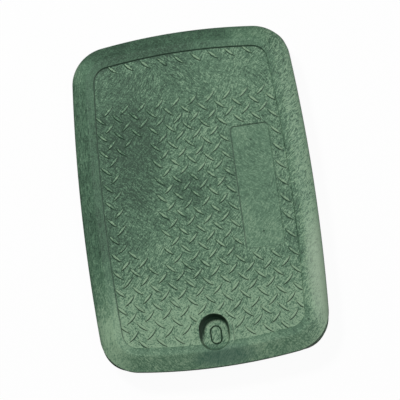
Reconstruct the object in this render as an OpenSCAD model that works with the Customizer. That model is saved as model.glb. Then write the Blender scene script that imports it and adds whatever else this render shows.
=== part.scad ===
// Cover of an in-ground valve box: one foam-moulded plate with a bevelled border,
// a slightly sunken treaded panel, a bolt pocket at one end, and a ribbed underside inside a skirt.
// Lengths in millimetres. X is across, Y is along, Z is up, and the skirt stands on Z = 0.

/* [Overall] */
// Length of the rim along Y, measured on the centre line
cover_l = 432; // [380:1:520]
// Width of the rim along X, measured on the centre line
cover_w = 293; // [250:1:340]
// Height at which bevel and inner strip meet, before rounding, above the foot of the skirt
cover_h = 45; // [36:0.5:60]
// Radius of the bowed long sides
side_r = 2300; // [1500:10:4000]
// Radius of the bowed ends
end_r = 735; // [600:5:1500]
// Radius of the rim's corners
corner_r = 49; // [40:1:60]

/* [Border] */
// Width of the border, from the rim to the foot of the inner strip
border_w = 28.6; // [24:0.2:34]
// Width of the sloping bevel
bevel_w = 20; // [14:0.5:22]
// Fall of the bevel from its crest to the rim
bevel_drop = 7.5; // [3:0.5:10]
// Depth of the inner strip's foot below the crest
strip_drop = 1.5; // [0.8:0.1:2.5]
// Height of the rim's upright edge
edge_h = 4.5; // [3:0.5:7]
// Radius that rounds the top of the rim's edge
edge_r = 1.6; // [0.8:0.1:2.4]
// Radius that rounds the crest between bevel and strip
crest_r = 8; // [3:0.5:12]

/* [Panel] */
// Thickness of the plate under the panel
plate_t = 5.5; // [3.5:0.1:6]
// Depth of the panel below the strip's foot
panel_drop = 1.4; // [0.8:0.1:2.5]
// Width of the flat between the strip's foot and the edge of the panel
foot_gap = 0.4; // [0.2:0.1:1]

/* [Treads] */
// Distance between treads of one direction, across
tread_pitch_x = 21.75; // [19:0.05:26]
// Distance between treads of one direction, along
tread_pitch_y = 22.15; // [19:0.05:26]
// Length of a tread at its foot
tread_l = 18.8; // [14:0.1:20]
// Width of a tread at its foot
tread_w = 4.3; // [3:0.1:5.5]
// Height of a tread at its middle
tread_h = 1.3; // [0.6:0.1:1.8]
// How far a tread's side leans in from foot to top
tread_lean = 1.0; // [0.5:0.1:1.3]
// Height that a tread's crown loses towards its ends
tread_crown = 0.8; // [0.2:0.1:1.1]
// How far a tread's end leans in from foot to top
tread_end_lean = 1.6; // [0.8:0.1:2.4]
// Least distance from a tread's centre to the foot of the border
tread_margin = 3; // [2:0.5:8]
// Least distance from a tread's centre to the side of the label pad
tread_pad_gap = 3.8; // [2:0.2:6]
// Least distance from a tread's centre to the end of the label pad
tread_pad_end_gap = 5.6; // [4:0.2:8]
// Least distance from a tread's centre to the smooth collar
tread_collar_gap = 1.4; // [1:0.1:4]

/* [Smooth areas] */
// Length of the sunken label pad
pad_l = 157; // [120:1:200]
// Width of the raised label pad
pad_w = 48; // [36:1:60]
// Distance of the label pad's centre from the long centre line
pad_x = 76.4; // [68:0.2:82]
// Corner radius of the label pad
pad_r = 5.5; // [2:0.5:10]
// Depth of the label pad below the panel
pad_drop = 0.8; // [0.4:0.1:1.4]
// Distance between the two dimples in the label pad
dimple_gap = 118; // [80:1:140]
// Radius of a dimple
dimple_r = 1.2; // [0.8:0.1:2]
// Depth of a dimple
dimple_depth = 0.6; // [0.3:0.1:0.9]
// Radius of the moulding gate's stub
gate_r = 2.4; // [1:0.1:4]
// Height of the gate's stub above the panel
gate_h = 0.5; // [0.2:0.1:1.2]
// Distance of the gate's stub from the centre, across
gate_x = -3; // [-10:0.5:10]
// Distance of the gate's stub from the centre, along
gate_y = -12; // [-20:0.5:20]
// Lowest point of the smooth band near the far end
band_from = 130; // [120:1:140]
// Highest point of the smooth band near the far end
band_to = 169; // [160:1:174]
// Distance from the long centre line to the inner edge of the smooth area on the left
side_bare_from = 50; // [45:1:53]
// Distance from the long centre line to that area's outer edge
side_bare_to = 94; // [89:1:97]
// Distance from the long centre line at which that area gets shorter
side_bare_mid = 70; // [66:1:75]
// Half length of that area beyond there
side_bare_l = 60; // [50:1:72]
// Half length of that area's inner part
side_bare_inner_l = 79; // [72:1:90]

/* [Bolt pocket] */
// Distance of the pocket's arc centre from the near end of the rim
pocket_from_rim = 46; // [42:0.5:60]
// Radius of the pocket at the collar
pocket_r = 18.6; // [14:0.1:24]
// Depth of the pocket's floor below the collar
pocket_d = 12; // [8:0.5:18]
// How far the pocket's wall leans in from top to floor
pocket_lean = 2.2; // [0.5:0.1:4]
// Wall thickness of the cup round the pocket
cup_wall = 4.5; // [3:0.5:7]
// Width of the smooth collar round the pocket, which stays level with the strip's foot
collar_w = 4.2; // [2:0.2:8]
// Distance between the centres of the pocket's two round ends
pocket_run = 8; // [5:0.5:16]
// Angle at which the floor's ramp climbs to the border
ramp_angle = 60; // [45:1:70]
// Radius that rounds the foot of the ramp
ramp_r = 6; // [3:0.5:9]
// Flat length of floor between the knock-out's groove and the ramp
ramp_gap = 0.5; // [0.5:0.5:3]
// Length of the knock-out in the pocket's floor
knockout_l = 20; // [16:0.5:24]
// Width of the knock-out
knockout_w = 11.4; // [8:0.2:14]
// How far the knock-out's centre lies off the centre line
knockout_x = 1.2; // [0:0.1:3]
// How far the knock-out's centre lies from the pocket's arc centre towards the rim
knockout_ahead = 6.4; // [2:0.2:10]
// Width of the groove round the knock-out
knockout_groove = 1.6; // [1:0.1:2.4]
// Depth of the groove round the knock-out
knockout_depth = 1.4; // [0.6:0.1:2.4]

/* [Underside] */
// Inset of the skirt from the rim at the middle of a long side
skirt_side_inset = 5.5; // [4:0.5:9]
// Inset of the skirt from the rim at the middle of an end
skirt_end_inset = 8; // [6:0.5:12]
// Radius of the skirt's long sides, which are straighter than the rim's
skirt_side_r = 5000; // [3500:50:9000]
// Radius of the skirt's ends
skirt_end_r = 2000; // [1400:20:4000]
// Radius of the skirt's corners
skirt_corner_r = 36; // [30:1:44]
// Wall thickness of the skirt
skirt_t = 4.5; // [3:0.5:7]
// Thickness of a rib
rib_t = 4; // [2.4:0.1:5]
// Widest space that a bay between ribs may have
bay_max = 80; // [64:1:95]
// Height of the ribs' lower edges above the foot of the skirt
rib_lift = 2; // [1:0.5:8]

/* [Hidden] */
$fn = 96;

half_l = cover_l / 2;
half_w = cover_w / 2;

// Heights, from the foot of the skirt up.
crest_z = cover_h;
foot_z = crest_z - strip_drop;
panel_z = foot_z - panel_drop;
pad_z = panel_z - pad_drop;
panel_inset = border_w + foot_gap;
rim_top_z = crest_z - bevel_drop;
seat_z = rim_top_z - edge_r - edge_h;
plate_under_z = panel_z - plate_t;
border_under_z = seat_z + edge_h;

// How far pieces that join run into each other, and how far a cut runs past what it cuts.
lap = 1;
top_z = crest_z + tread_h + lap;

// Points to an arc of the outlines.
side_steps = 8;
end_steps = 10;
corner_steps = 10;

// Centre of a corner's arc, which touches a side of radius rs and an end of radius re from inside:
// it lies at rs - rc from the side's centre and at re - rc from the end's centre.
function corner_centre(hw, hl, rs, re, rc) =
    let (a = [hw - rs, 0])
    let (b = [0, hl - re])
    let (gap = norm(b - a))
    let (u = (b - a) / gap)
    let (along = (pow(rs - rc, 2) - pow(re - rc, 2) + gap * gap) / (2 * gap))
    let (off = sqrt(pow(rs - rc, 2) - along * along))
    a + u * along + [-u[1], u[0]] * off;

function arc_points(c, r, from, to, steps) =
    [for (i = [0 : steps - 1])
        let (t = from + (to - from) * i / steps)
        c + r * [cos(t), sin(t)]];

// Outline of bowed sides and ends joined by tangent corners, set in by d, counter-clockwise.
function bowed_outline(hw, hl, rs, re, rc, d) =
    let (p = corner_centre(hw, hl, rs, re, rc))
    let (ts = atan2(p[1], p[0] - hw + rs))
    let (te = atan2(p[1] - hl + re, p[0]))
    concat(
        arc_points([hw - rs, 0], rs - d, -ts, ts, side_steps),
        arc_points(p, rc - d, ts, te, corner_steps),
        arc_points([0, hl - re], re - d, te, 180 - te, end_steps),
        arc_points([-p[0], p[1]], rc - d, 180 - te, 180 - ts, corner_steps),
        arc_points([rs - hw, 0], rs - d, 180 - ts, 180 + ts, side_steps),
        arc_points([-p[0], -p[1]], rc - d, 180 + ts, 180 + te, corner_steps),
        arc_points([0, re - hl], re - d, 180 + te, 360 - te, end_steps),
        arc_points([p[0], -p[1]], rc - d, 360 - te, 360 - ts, corner_steps)
    );

function rim_outline(d) = bowed_outline(half_w, half_l, side_r, end_r, corner_r, d);

function skirt_outline(d) =
    bowed_outline(half_w - skirt_side_inset, half_l - skirt_end_inset,
        skirt_side_r, skirt_end_r, skirt_corner_r, d);

// Section of the border as [distance in from the rim, height], starting under the rim.
bevel_slope = atan2(bevel_drop, bevel_w);
strip_slope = atan2(strip_drop, border_w - bevel_w);
crest_reach = crest_r * tan((bevel_slope + strip_slope) / 2);
edge_reach = edge_r * tan((90 - bevel_slope) / 2);
crest_steps = 3;
edge_steps = 2;

// How far the border's section runs in over the plate.
section_under = 3;

function edge_rounding() =
    [for (i = [0 : edge_steps])
        let (t = 180 - (90 - bevel_slope) * i / edge_steps)
        [edge_r + edge_r * cos(t), rim_top_z - edge_reach + edge_r * sin(t)]];

function crest_rounding() =
    let (c = [bevel_w - crest_reach * cos(bevel_slope) + crest_r * sin(bevel_slope),
        crest_z - crest_reach * sin(bevel_slope) - crest_r * cos(bevel_slope)])
    [for (i = [0 : crest_steps])
        let (t = 90 + bevel_slope - (bevel_slope + strip_slope) * i / crest_steps)
        c + crest_r * [cos(t), sin(t)]];

border_section = concat(
    [[edge_r / 2, seat_z], [0, seat_z + edge_r / 2]],
    edge_rounding(),
    crest_rounding(),
    [[border_w + section_under, foot_z - section_under * tan(strip_slope)],
        [border_w + section_under, seat_z]]
);

// Ring with the given section all round the rim.
module border_ring() {
    rings = [for (s = border_section) [for (q = rim_outline(s[0])) [q[0], q[1], s[1]]]];
    m = len(rings);
    n = len(rings[0]);
    polyhedron(
        points = [for (ring = rings) each ring],
        faces = [for (k = [0 : m - 1]) for (i = [0 : n - 1])
            [k * n + i, ((k + 1) % m) * n + i, ((k + 1) % m) * n + (i + 1) % n, k * n + (i + 1) % n]]
    );
}

module prism(outline, from, to) {
    translate([0, 0, from])
        linear_extrude(to - from)
            polygon(outline);
}

// Two half discs of radius r joined by straight sides, length l over all, along Y.
module obround(l, r) {
    square([2 * r, l - 2 * r], center = true);
    translate([0, l / 2 - r])
        circle(r);
    translate([0, r - l / 2])
        circle(r);
}

// Pocket: a drafted well with round ends, whose floor ramps up into the bevel at the rim's end.
pocket_y = pocket_from_rim - half_l;
pocket_floor_z = foot_z - pocket_d;
knockout_y = pocket_y - knockout_ahead;
ramp_y = knockout_y - knockout_l / 2 - knockout_groove - ramp_gap;

// The smooth collar, which the panel and the treads stop at.
module collar() {
    from = panel_z - lap;
    translate([0, pocket_y, from])
        cylinder(r = pocket_r + collar_w, h = top_z + lap - from);
    translate([-pocket_r - collar_w, -half_l, from])
        cube([2 * (pocket_r + collar_w), pocket_from_rim, top_z + lap - from]);
}

// Room over the sunken panel.
module panel_room() {
    difference() {
        prism(rim_outline(panel_inset), panel_z, top_z);
        collar();
    }
}

// The plate, the border and the skirt in one.
module moulding() {
    difference() {
        union() {
            border_ring();
            prism(rim_outline(border_w - section_under / 2), border_under_z - lap, foot_z);
            prism(skirt_outline(0), 0, seat_z + edge_h / 2);
        }
        prism(skirt_outline(skirt_t), -lap, border_under_z);
        prism(rim_outline(border_w), border_under_z - 2 * lap, plate_under_z);
        panel_room();
    }
}

// Ribs: equal bays no wider than bay_max.
inner_w = 2 * (half_w - skirt_side_inset - skirt_t);
inner_l = 2 * (half_l - skirt_end_inset - skirt_t);
bays_x = ceil((inner_w + rib_t) / (bay_max + rib_t));
bays_y = ceil((inner_l + rib_t) / (bay_max + rib_t));

module ribs() {
    step_x = (inner_w + rib_t) / bays_x;
    step_y = (inner_l + rib_t) / bays_y;
    translate([0, 0, rib_lift])
        linear_extrude(plate_under_z + plate_t / 2 - rib_lift)
            intersection() {
                polygon(skirt_outline(skirt_t / 2));
                union() {
                    for (i = [1 : bays_x - 1])
                        translate([(i - bays_x / 2) * step_x - rib_t / 2, -half_l])
                            square([rib_t, cover_l]);
                    for (j = [1 : bays_y - 1])
                        translate([-half_w, (j - bays_y / 2) * step_y - rib_t / 2])
                            square([cover_w, rib_t]);
                }
            }
}

// Cup under the pocket, closed against the skirt.
module pocket_cup() {
    cup_r = pocket_r + cup_wall;
    cup_z = pocket_floor_z - plate_t;
    translate([0, pocket_y, cup_z])
        cylinder(r = cup_r, h = panel_z - lap - cup_z);
    translate([-cup_r, skirt_end_inset + skirt_t / 2 - half_l, cup_z])
        cube([2 * cup_r, pocket_y + half_l - skirt_end_inset - skirt_t / 2, border_under_z + lap - cup_z]);
}

// Side view of the pocket's floor, ramp and open top.
ramp_steps = 6;
module pocket_side() {
    foot = arc_points([ramp_y, pocket_floor_z + ramp_r], ramp_r, 270, 270 - ramp_angle, ramp_steps);
    last = [ramp_y, pocket_floor_z + ramp_r] + ramp_r * [-sin(ramp_angle), -cos(ramp_angle)];
    polygon(concat(
        [[pocket_y + 2 * pocket_r, top_z], [pocket_y + 2 * pocket_r, pocket_floor_z]],
        foot,
        [last, [last[0] - (top_z - last[1]) / tan(ramp_angle), top_z]]
    ));
}

// Pocket's body without its ramp: two drafted wells and the channel between them.
module pocket_well() {
    lean = pocket_lean / pocket_d;
    z0 = pocket_floor_z - lap;
    depth = top_z - z0;
    r0 = pocket_r - lean * (foot_z - z0);
    r1 = r0 + lean * depth;
    for (y = [pocket_y, pocket_y - pocket_run])
        translate([0, y, z0])
            cylinder(r1 = r0, r2 = r1, h = depth);
    translate([0, pocket_y, z0])
        rotate([90, 0, 0])
            linear_extrude(pocket_run)
                polygon([[-r0, 0], [r0, 0], [r1, depth], [-r1, depth]]);
}

module pocket() {
    intersection() {
        pocket_well();
        translate([-half_w, 0, 0])
            rotate([90, 0, 90])
                linear_extrude(cover_w)
                    pocket_side();
    }
}

module knockout_ring() {
    translate([knockout_x, knockout_y, pocket_floor_z - knockout_depth])
        linear_extrude(knockout_depth + lap)
            difference() {
                obround(knockout_l + 2 * knockout_groove, knockout_w / 2 + knockout_groove);
                obround(knockout_l, knockout_w / 2);
            }
}

// Where the treads are left out.
function on_band(y) = y > band_from && y < band_to;
function beside_left(x, y) =
    -x > side_bare_from && -x < side_bare_to
    && abs(y) < (-x < side_bare_mid ? side_bare_inner_l : side_bare_l);
function on_pad(x, y) =
    abs(x - pad_x) < pad_w / 2 + tread_pad_gap && abs(y) < pad_l / 2 + tread_pad_end_gap;
function on_pocket(x, y) = norm([x, max(y - pocket_y, 0)]) < pocket_r + collar_w + tread_collar_gap;
function bare(x, y) = on_band(y) || beside_left(x, y) || on_pad(x, y) || on_pocket(x, y);

// Whether a point lies inside the rim's outline set in by d.
rim_corner = corner_centre(half_w, half_l, side_r, end_r, corner_r);
function inside(x, y, d) =
    norm([abs(x) - half_w + side_r, y]) < side_r - d
    && norm([x, abs(y) - half_l + end_r]) < end_r - d
    && (abs(x) < rim_corner[0] || abs(y) < rim_corner[1]
        || norm([abs(x) - rim_corner[0], abs(y) - rim_corner[1]]) < corner_r - d);

// Places of the treads that lean one way: whole steps for one way, half steps for the other.
function tread_places(half) =
    let (nx = ceil(half_w / tread_pitch_x))
    let (ny = ceil(half_l / tread_pitch_y))
    [for (i = [-nx : nx]) for (j = [-ny : ny])
        let (x = (i + half) * tread_pitch_x)
        let (y = (j + half) * tread_pitch_y)
        if (inside(x, y, border_w + tread_margin) && !bare(x, y)) [x, y]];

// Whether a tread may run over a point of the panel.
function on_panel(q) =
    inside(q[0], q[1], panel_inset) && norm([q[0], max(q[1] - pocket_y, 0)]) > pocket_r + collar_w;

// Share of a tread's half length that is free in the direction u, from the place at.
reach_steps = 20;
function reach(at, u) =
    max([for (k = [1 : reach_steps]) if (on_panel(at + u * tread_l / 2 * k / reach_steps)) k / reach_steps]);

// Tread: a lens-shaped bar whose sides lean inwards and whose top is crowned lengthwise. It is cut
// off where the panel ends. Its points lie in three outlines of eight points each: under the panel,
// at the panel and on the crown.
tread_sink = 0.6;
cut_station = 0.85;
free_station = 0.5;

// Stations of the eight points along a tread, as shares of its half length.
function stations(back, ahead) =
    let (b = -back * (back < 1 ? cut_station : free_station))
    let (a = ahead * (ahead < 1 ? cut_station : free_station))
    [-back, b, 0, a, ahead, a, 0, b];

function lens(ts, l, w) =
    [for (k = [0 : 7]) [ts[k] * l / 2, sign(k % 4) * (k < 4 ? -1 : 1) * (1 - ts[k] * ts[k]) * w / 2]];

function tread_points(at, turn) =
    let (u = [cos(turn), sin(turn)])
    let (v = [-sin(turn), cos(turn)])
    let (ts = stations(reach(at, -u), reach(at, u)))
    let (foot = [for (q = lens(ts, tread_l, tread_w)) at + q[0] * u + q[1] * v])
    let (crest = [for (q = lens(ts, tread_l - 2 * tread_end_lean, tread_w - 2 * tread_lean))
        at + q[0] * u + q[1] * v])
    concat(
        [for (q = foot) [q[0], q[1], panel_z - tread_sink]],
        [for (q = foot) [q[0], q[1], panel_z]],
        [for (k = [0 : 7]) [crest[k][0], crest[k][1], panel_z + tread_h - tread_crown * ts[k] * ts[k]]]
    );

lens_faces = concat(
    [[0, 1, 2, 3, 4, 5, 6, 7]],
    [for (k = [0 : 7]) [k, 8 + k, 8 + (k + 1) % 8, (k + 1) % 8]],
    [for (k = [0 : 7]) [8 + k, 16 + k, 16 + (k + 1) % 8]],
    [for (k = [0 : 7]) [8 + k, 16 + (k + 1) % 8, 8 + (k + 1) % 8]],
    [[16, 23, 17], [17, 23, 22, 18], [18, 22, 21, 19], [19, 21, 20]]
);

// All treads of one direction, each a closed shell of its own.
module tread_set(places, turn) {
    polyhedron(
        points = [for (at = places) each tread_points(at, turn)],
        faces = [for (i = [0 : len(places) - 1]) for (f = lens_faces) [for (k = f) 24 * i + k]]
    );
}

module treads() {
    tread_set(tread_places(0), -45);
    tread_set(tread_places(0.5), 45);
}

// Room over the sunken label pad.
module pad_room() {
    x = pad_w / 2 - pad_r;
    y = pad_l / 2 - pad_r;
    translate([pad_x, 0, pad_z])
        linear_extrude(top_z - pad_z) {
            square([pad_w, 2 * y], center = true);
            square([2 * x, pad_l], center = true);
            for (sx = [-x, x]) for (sy = [-y, y])
                translate([sx, sy])
                    circle(pad_r);
        }
}

// Small round sinks in the label pad, and the stub that the moulding gate leaves.
module dimples() {
    for (y = [-dimple_gap / 2, dimple_gap / 2])
        translate([pad_x, y, pad_z - dimple_depth])
            cylinder(r = dimple_r, h = dimple_depth + lap);
}

module gate_stub() {
    translate([gate_x, gate_y, panel_z - lap])
        cylinder(r = gate_r, h = lap + gate_h);
}

module cover() {
    color("#4f7d63") {
        difference() {
            union() {
                moulding();
                gate_stub();
                ribs();
                pocket_cup();
            }
            pad_room();
            pocket();
            knockout_ring();
            dimples();
        }
        treads();
    }
}

cover();
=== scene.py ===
"""Looks of an in-ground valve box cover: one foam-moulded plate of mottled green plastic.

The cover is a bevelled border round a slightly sunken panel with lens-shaped treads, a sunken label pad,
a bolt pocket whose floor ramps up to the border, and ribs inside a locating skirt. Lengths are in metres.
"""
import logging
import math
from dataclasses import dataclass, field
from enum import Enum

import bpy
import numpy as np
from mathutils import Matrix, Vector


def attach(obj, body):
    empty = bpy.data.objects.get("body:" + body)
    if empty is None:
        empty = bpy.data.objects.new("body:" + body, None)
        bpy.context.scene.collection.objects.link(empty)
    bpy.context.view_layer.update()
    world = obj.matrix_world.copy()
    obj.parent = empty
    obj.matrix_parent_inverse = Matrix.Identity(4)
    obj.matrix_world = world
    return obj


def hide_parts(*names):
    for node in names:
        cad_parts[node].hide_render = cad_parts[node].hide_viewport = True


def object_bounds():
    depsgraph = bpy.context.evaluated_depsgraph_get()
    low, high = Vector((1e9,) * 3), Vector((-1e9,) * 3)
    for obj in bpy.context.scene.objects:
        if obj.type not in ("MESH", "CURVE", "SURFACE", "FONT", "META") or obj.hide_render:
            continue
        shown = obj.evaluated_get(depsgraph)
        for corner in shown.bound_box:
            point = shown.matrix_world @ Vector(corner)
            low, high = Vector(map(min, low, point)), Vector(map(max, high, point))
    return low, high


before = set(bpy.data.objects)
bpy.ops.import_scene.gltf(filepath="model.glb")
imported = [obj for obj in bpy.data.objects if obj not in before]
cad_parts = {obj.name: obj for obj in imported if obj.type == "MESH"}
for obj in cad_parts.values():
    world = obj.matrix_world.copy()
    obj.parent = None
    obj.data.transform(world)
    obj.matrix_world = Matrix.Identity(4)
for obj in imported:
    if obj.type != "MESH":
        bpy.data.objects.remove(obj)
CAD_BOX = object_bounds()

LOG = logging.getLogger("valve_box_cover")
MM = 0.001
NODE = "cover"
BODY = "root"
WHITE = (1.0, 1.0, 1.0, 1.0)
HALF_TURN = math.pi
QUARTER_TURN = math.pi / 2
CAP_SHARES = np.array([0.06, 0.3, 0.6, 0.85, 0.97])  # flat rings that fill the end of a body
BEND_LEAST = 1e-4  # a corner stays sharp when half its bend, in radians, is less
RING_STEP = 0.01 * MM  # keeps the heights of neighbouring rings apart

Point = tuple[float, float]
Colour = tuple[float, float, float, float]


def corners(box: object) -> tuple[np.ndarray, np.ndarray]:
    """Lowest and highest corner of a box as arrays.

    Args:
        box: A pair of corners.

    Returns:
        The lowest and the highest corner.
    """
    low, high = (np.array([float(v) for v in corner]) for corner in box)
    return low, high


LOW, HIGH = corners(CAD_BOX)
HALF_W = float(HIGH[0] - LOW[0]) / 2
HALF_L = float(HIGH[1] - LOW[1]) / 2


class Side(Enum):
    """Way in which a tread leans on the panel, as its angle in degrees."""

    FALLING = -45.0
    RISING = 45.0


class Cut(Enum):
    """How one shell works on another."""

    REMOVE = "DIFFERENCE"
    JOIN = "UNION"


@dataclass
class Shell:
    """Vertices and faces of one or more closed surfaces."""

    points: np.ndarray
    quads: np.ndarray
    tris: np.ndarray = field(default_factory=lambda: np.zeros((0, 3), int))

    def __add__(self, other: "Shell") -> "Shell":
        """Puts both shells in one.

        Args:
            other: The second shell.

        Returns:
            The shell of both.
        """
        shift = len(self.points)
        return Shell(
            np.vstack([self.points, other.points]),
            np.vstack([self.quads, other.quads + shift]),
            np.vstack([self.tris, other.tris + shift]),
        )

    def moved(self, x: float, y: float) -> "Shell":
        """The shell shifted in the plane."""
        return Shell(self.points + np.array([x, y, 0.0]), self.quads, self.tris)

    def as_object(self, name: str) -> bpy.types.Object:
        """Makes a Blender object of the shell.

        Args:
            name: The object's name.

        Returns:
            The new object, smooth all over, at the origin.
        """
        mesh = bpy.data.meshes.new(name)
        mesh.vertices.add(len(self.points))
        mesh.vertices.foreach_set("co", self.points.astype(np.float32).ravel())
        corner_list = np.concatenate([self.quads.ravel(), self.tris.ravel()]).astype(np.int32)
        sizes = np.concatenate([np.full(len(self.quads), 4), np.full(len(self.tris), 3)]).astype(np.int32)
        starts = np.concatenate([[0], np.cumsum(sizes)[:-1]]).astype(np.int32)
        mesh.loops.add(len(corner_list))
        mesh.loops.foreach_set("vertex_index", corner_list)
        mesh.polygons.add(len(sizes))
        mesh.polygons.foreach_set("loop_start", starts)
        mesh.polygons.foreach_set("use_smooth", np.ones(len(sizes), dtype=bool))
        mesh.update(calc_edges=True)
        mesh.validate()
        piece = bpy.data.objects.new(name, mesh)
        bpy.context.scene.collection.objects.link(piece)
        return piece


def tube_quads(count: int, around: int, closed: bool = False) -> np.ndarray:
    """Faces between rings: quad k, i joins points i and i + 1 of rings k and k + 1.

    Args:
        count: Number of rings.
        around: Number of points in each ring.
        closed: Whether the last ring is joined to the first.

    Returns:
        Vertex numbers of the quads, (n, 4).
    """
    k, i = np.meshgrid(np.arange(count if closed else count - 1), np.arange(around), indexing="ij")
    here, after = k * around, ((k + 1) % count) * around
    beside = (i + 1) % around
    return np.stack([here + i, after + i, after + beside, here + beside], axis=-1).reshape(-1, 4)


def loft(rings: np.ndarray, closed: bool = False) -> Shell:
    """Closed surface through rings of equal count that run counter-clockwise seen from above.

    The first and last ring are closed by a fan to their mean point, or joined to each other.

    Args:
        rings: Array of rings, points and coordinates, from the top centre outwards and down.
        closed: Whether the last ring joins the first instead of the two fans.

    Returns:
        The closed shell, its faces outwards.
    """
    count, around = rings.shape[:2]
    quads = tube_quads(count, around, closed)
    points = rings.reshape(-1, 3)
    if closed:
        return Shell(points, quads)
    points = np.vstack([points, rings[0].mean(0), rings[-1].mean(0)])
    row = np.arange(around)
    beyond = (row + 1) % around
    base = (count - 1) * around
    top = np.stack([np.full(around, count * around), row, beyond], axis=-1)
    foot = np.stack([np.full(around, count * around + 1), base + beyond, base + row], axis=-1)
    return Shell(points, quads, np.vstack([top, foot]))


@dataclass(frozen=True)
class Plan:
    """Closed outline of arcs and straights: point = centre + (radius - inset) * direction."""

    centres: np.ndarray
    radii: np.ndarray
    directions: np.ndarray

    def ring(self, inset: float) -> np.ndarray:
        """Points of the outline, set in by a distance."""
        return self.centres + (self.radii - inset)[:, None] * self.directions


def arc(centre: Point, radius: float, start: float, stop: float, steps: int, ended: bool = False) -> Plan:
    """Arc as a piece of a plan, with its points at even angles.

    Args:
        centre: Centre of the arc.
        radius: Its radius.
        start: Angle of its first point, in radians.
        stop: Angle at which it ends.
        steps: Number of its chords.
        ended: Whether it has its end point, or leaves that to the next piece.

    Returns:
        The piece.
    """
    turn = start + (stop - start) * np.arange(steps + ended) / steps
    directions = np.stack([np.cos(turn), np.sin(turn)], axis=-1)
    return Plan(np.tile(centre, (len(turn), 1)), np.full(len(turn), radius), directions)


def straight(a: Point, b: Point, radius: float, side: float, steps: int) -> Plan:
    """Straight piece beside an axis, without both ends.

    Args:
        a: Start of the axis.
        b: End of the axis.
        radius: Distance of the piece from the axis.
        side: Angle of the side on which it lies, in radians.
        steps: Number of equal parts.

    Returns:
        The piece.
    """
    share = (np.arange(1, steps) / steps)[:, None]
    centres = np.array(a) * (1 - share) + np.array(b) * share
    directions = np.tile([math.cos(side), math.sin(side)], (steps - 1, 1))
    return Plan(centres, np.full(steps - 1, radius), directions)


def chain(*pieces: Plan) -> Plan:
    """Puts pieces of an outline one after another.

    Args:
        pieces: The pieces, in order.

    Returns:
        The whole outline.
    """
    return Plan(
        np.vstack([p.centres for p in pieces]),
        np.concatenate([p.radii for p in pieces]),
        np.vstack([p.directions for p in pieces]),
    )


@dataclass(frozen=True)
class BowedRectangle:
    """Rectangle with bowed sides and ends, joined by tangent corners."""

    half_w: float
    half_l: float
    side_r: float
    end_r: float
    corner_r: float
    side_steps: int = 54
    end_steps: int = 44
    corner_steps: int = 26

    def corner(self) -> Point:
        """Finds the centre of the corner arc, which touches the side's and the end's circle from inside.

        Returns:
            The centre in the quarter where both coordinates are positive.
        """
        a = np.array([self.half_w - self.side_r, 0.0])
        b = np.array([0.0, self.half_l - self.end_r])
        gap = float(np.linalg.norm(b - a))
        to_side, to_end = self.side_r - self.corner_r, self.end_r - self.corner_r
        along = (to_side**2 - to_end**2 + gap**2) / (2 * gap)
        off = math.sqrt(to_side**2 - along**2)
        u = (b - a) / gap
        centre = a + u * along + np.array([-u[1], u[0]]) * off
        return float(centre[0]), float(centre[1])

    def angles(self) -> Point:
        """Angles at which the side and the end go over into the corner."""
        x, y = self.corner()
        return math.atan2(y, x - self.half_w + self.side_r), math.atan2(y - self.half_l + self.end_r, x)

    def plan(self) -> Plan:
        """Chains the four sides and corners.

        Returns:
            The whole outline, counter-clockwise from the right side.
        """
        x, y = self.corner()
        ts, te = self.angles()
        side_x, end_y = self.half_w - self.side_r, self.half_l - self.end_r
        half, whole = HALF_TURN, 2 * HALF_TURN
        return chain(
            arc((side_x, 0), self.side_r, -ts, ts, self.side_steps),
            arc((x, y), self.corner_r, ts, te, self.corner_steps),
            arc((0, end_y), self.end_r, te, half - te, self.end_steps),
            arc((-x, y), self.corner_r, half - te, half - ts, self.corner_steps),
            arc((-side_x, 0), self.side_r, half - ts, half + ts, self.side_steps),
            arc((-x, -y), self.corner_r, half + ts, half + te, self.corner_steps),
            arc((0, -end_y), self.end_r, half + te, whole - te, self.end_steps),
            arc((x, -y), self.corner_r, whole - te, whole - ts, self.corner_steps),
        )

    def depth(self, x: np.ndarray, y: np.ndarray) -> np.ndarray:
        """Distance of points inside the outline: the least of those from side, end and corner.

        Args:
            x: Places across the cover.
            y: Places along the cover.

        Returns:
            The distances, which are negative outside.
        """
        cx, cy = self.corner()
        ax, ay = np.abs(x), np.abs(y)
        side = self.side_r - np.hypot(ax - self.half_w + self.side_r, ay)
        end = self.end_r - np.hypot(ax, ay - self.half_l + self.end_r)
        corner = self.corner_r - np.hypot(ax - cx, ay - cy)
        near = np.minimum(side, end)
        return np.where((ax > cx) & (ay > cy), np.minimum(near, corner), near)

    def reach_y(self, x: float, inset: float) -> float:
        """Half length of the outline, set in, at a distance x from its long centre line.

        Args:
            x: Place across the cover.
            inset: Distance in from the outline.

        Returns:
            The half length there.
        """
        cx, cy = self.corner()
        if abs(x) < (self.end_r - inset) * math.cos(self.angles()[1]):
            return self.half_l - self.end_r + math.sqrt((self.end_r - inset) ** 2 - x * x)
        return cy + math.sqrt(max((self.corner_r - inset) ** 2 - (abs(x) - cx) ** 2, 0.0))

    def reach_x(self, y: float, inset: float) -> float:
        """Half width of the outline, set in, at a distance y from its short centre line.

        Args:
            y: Place along the cover.
            inset: Distance in from the outline.

        Returns:
            The half width there.
        """
        cx, cy = self.corner()
        if abs(y) < (self.side_r - inset) * math.sin(self.angles()[0]):
            return self.half_w - self.side_r + math.sqrt((self.side_r - inset) ** 2 - y * y)
        return cx + math.sqrt(max((self.corner_r - inset) ** 2 - (abs(y) - cy) ** 2, 0.0))


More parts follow.
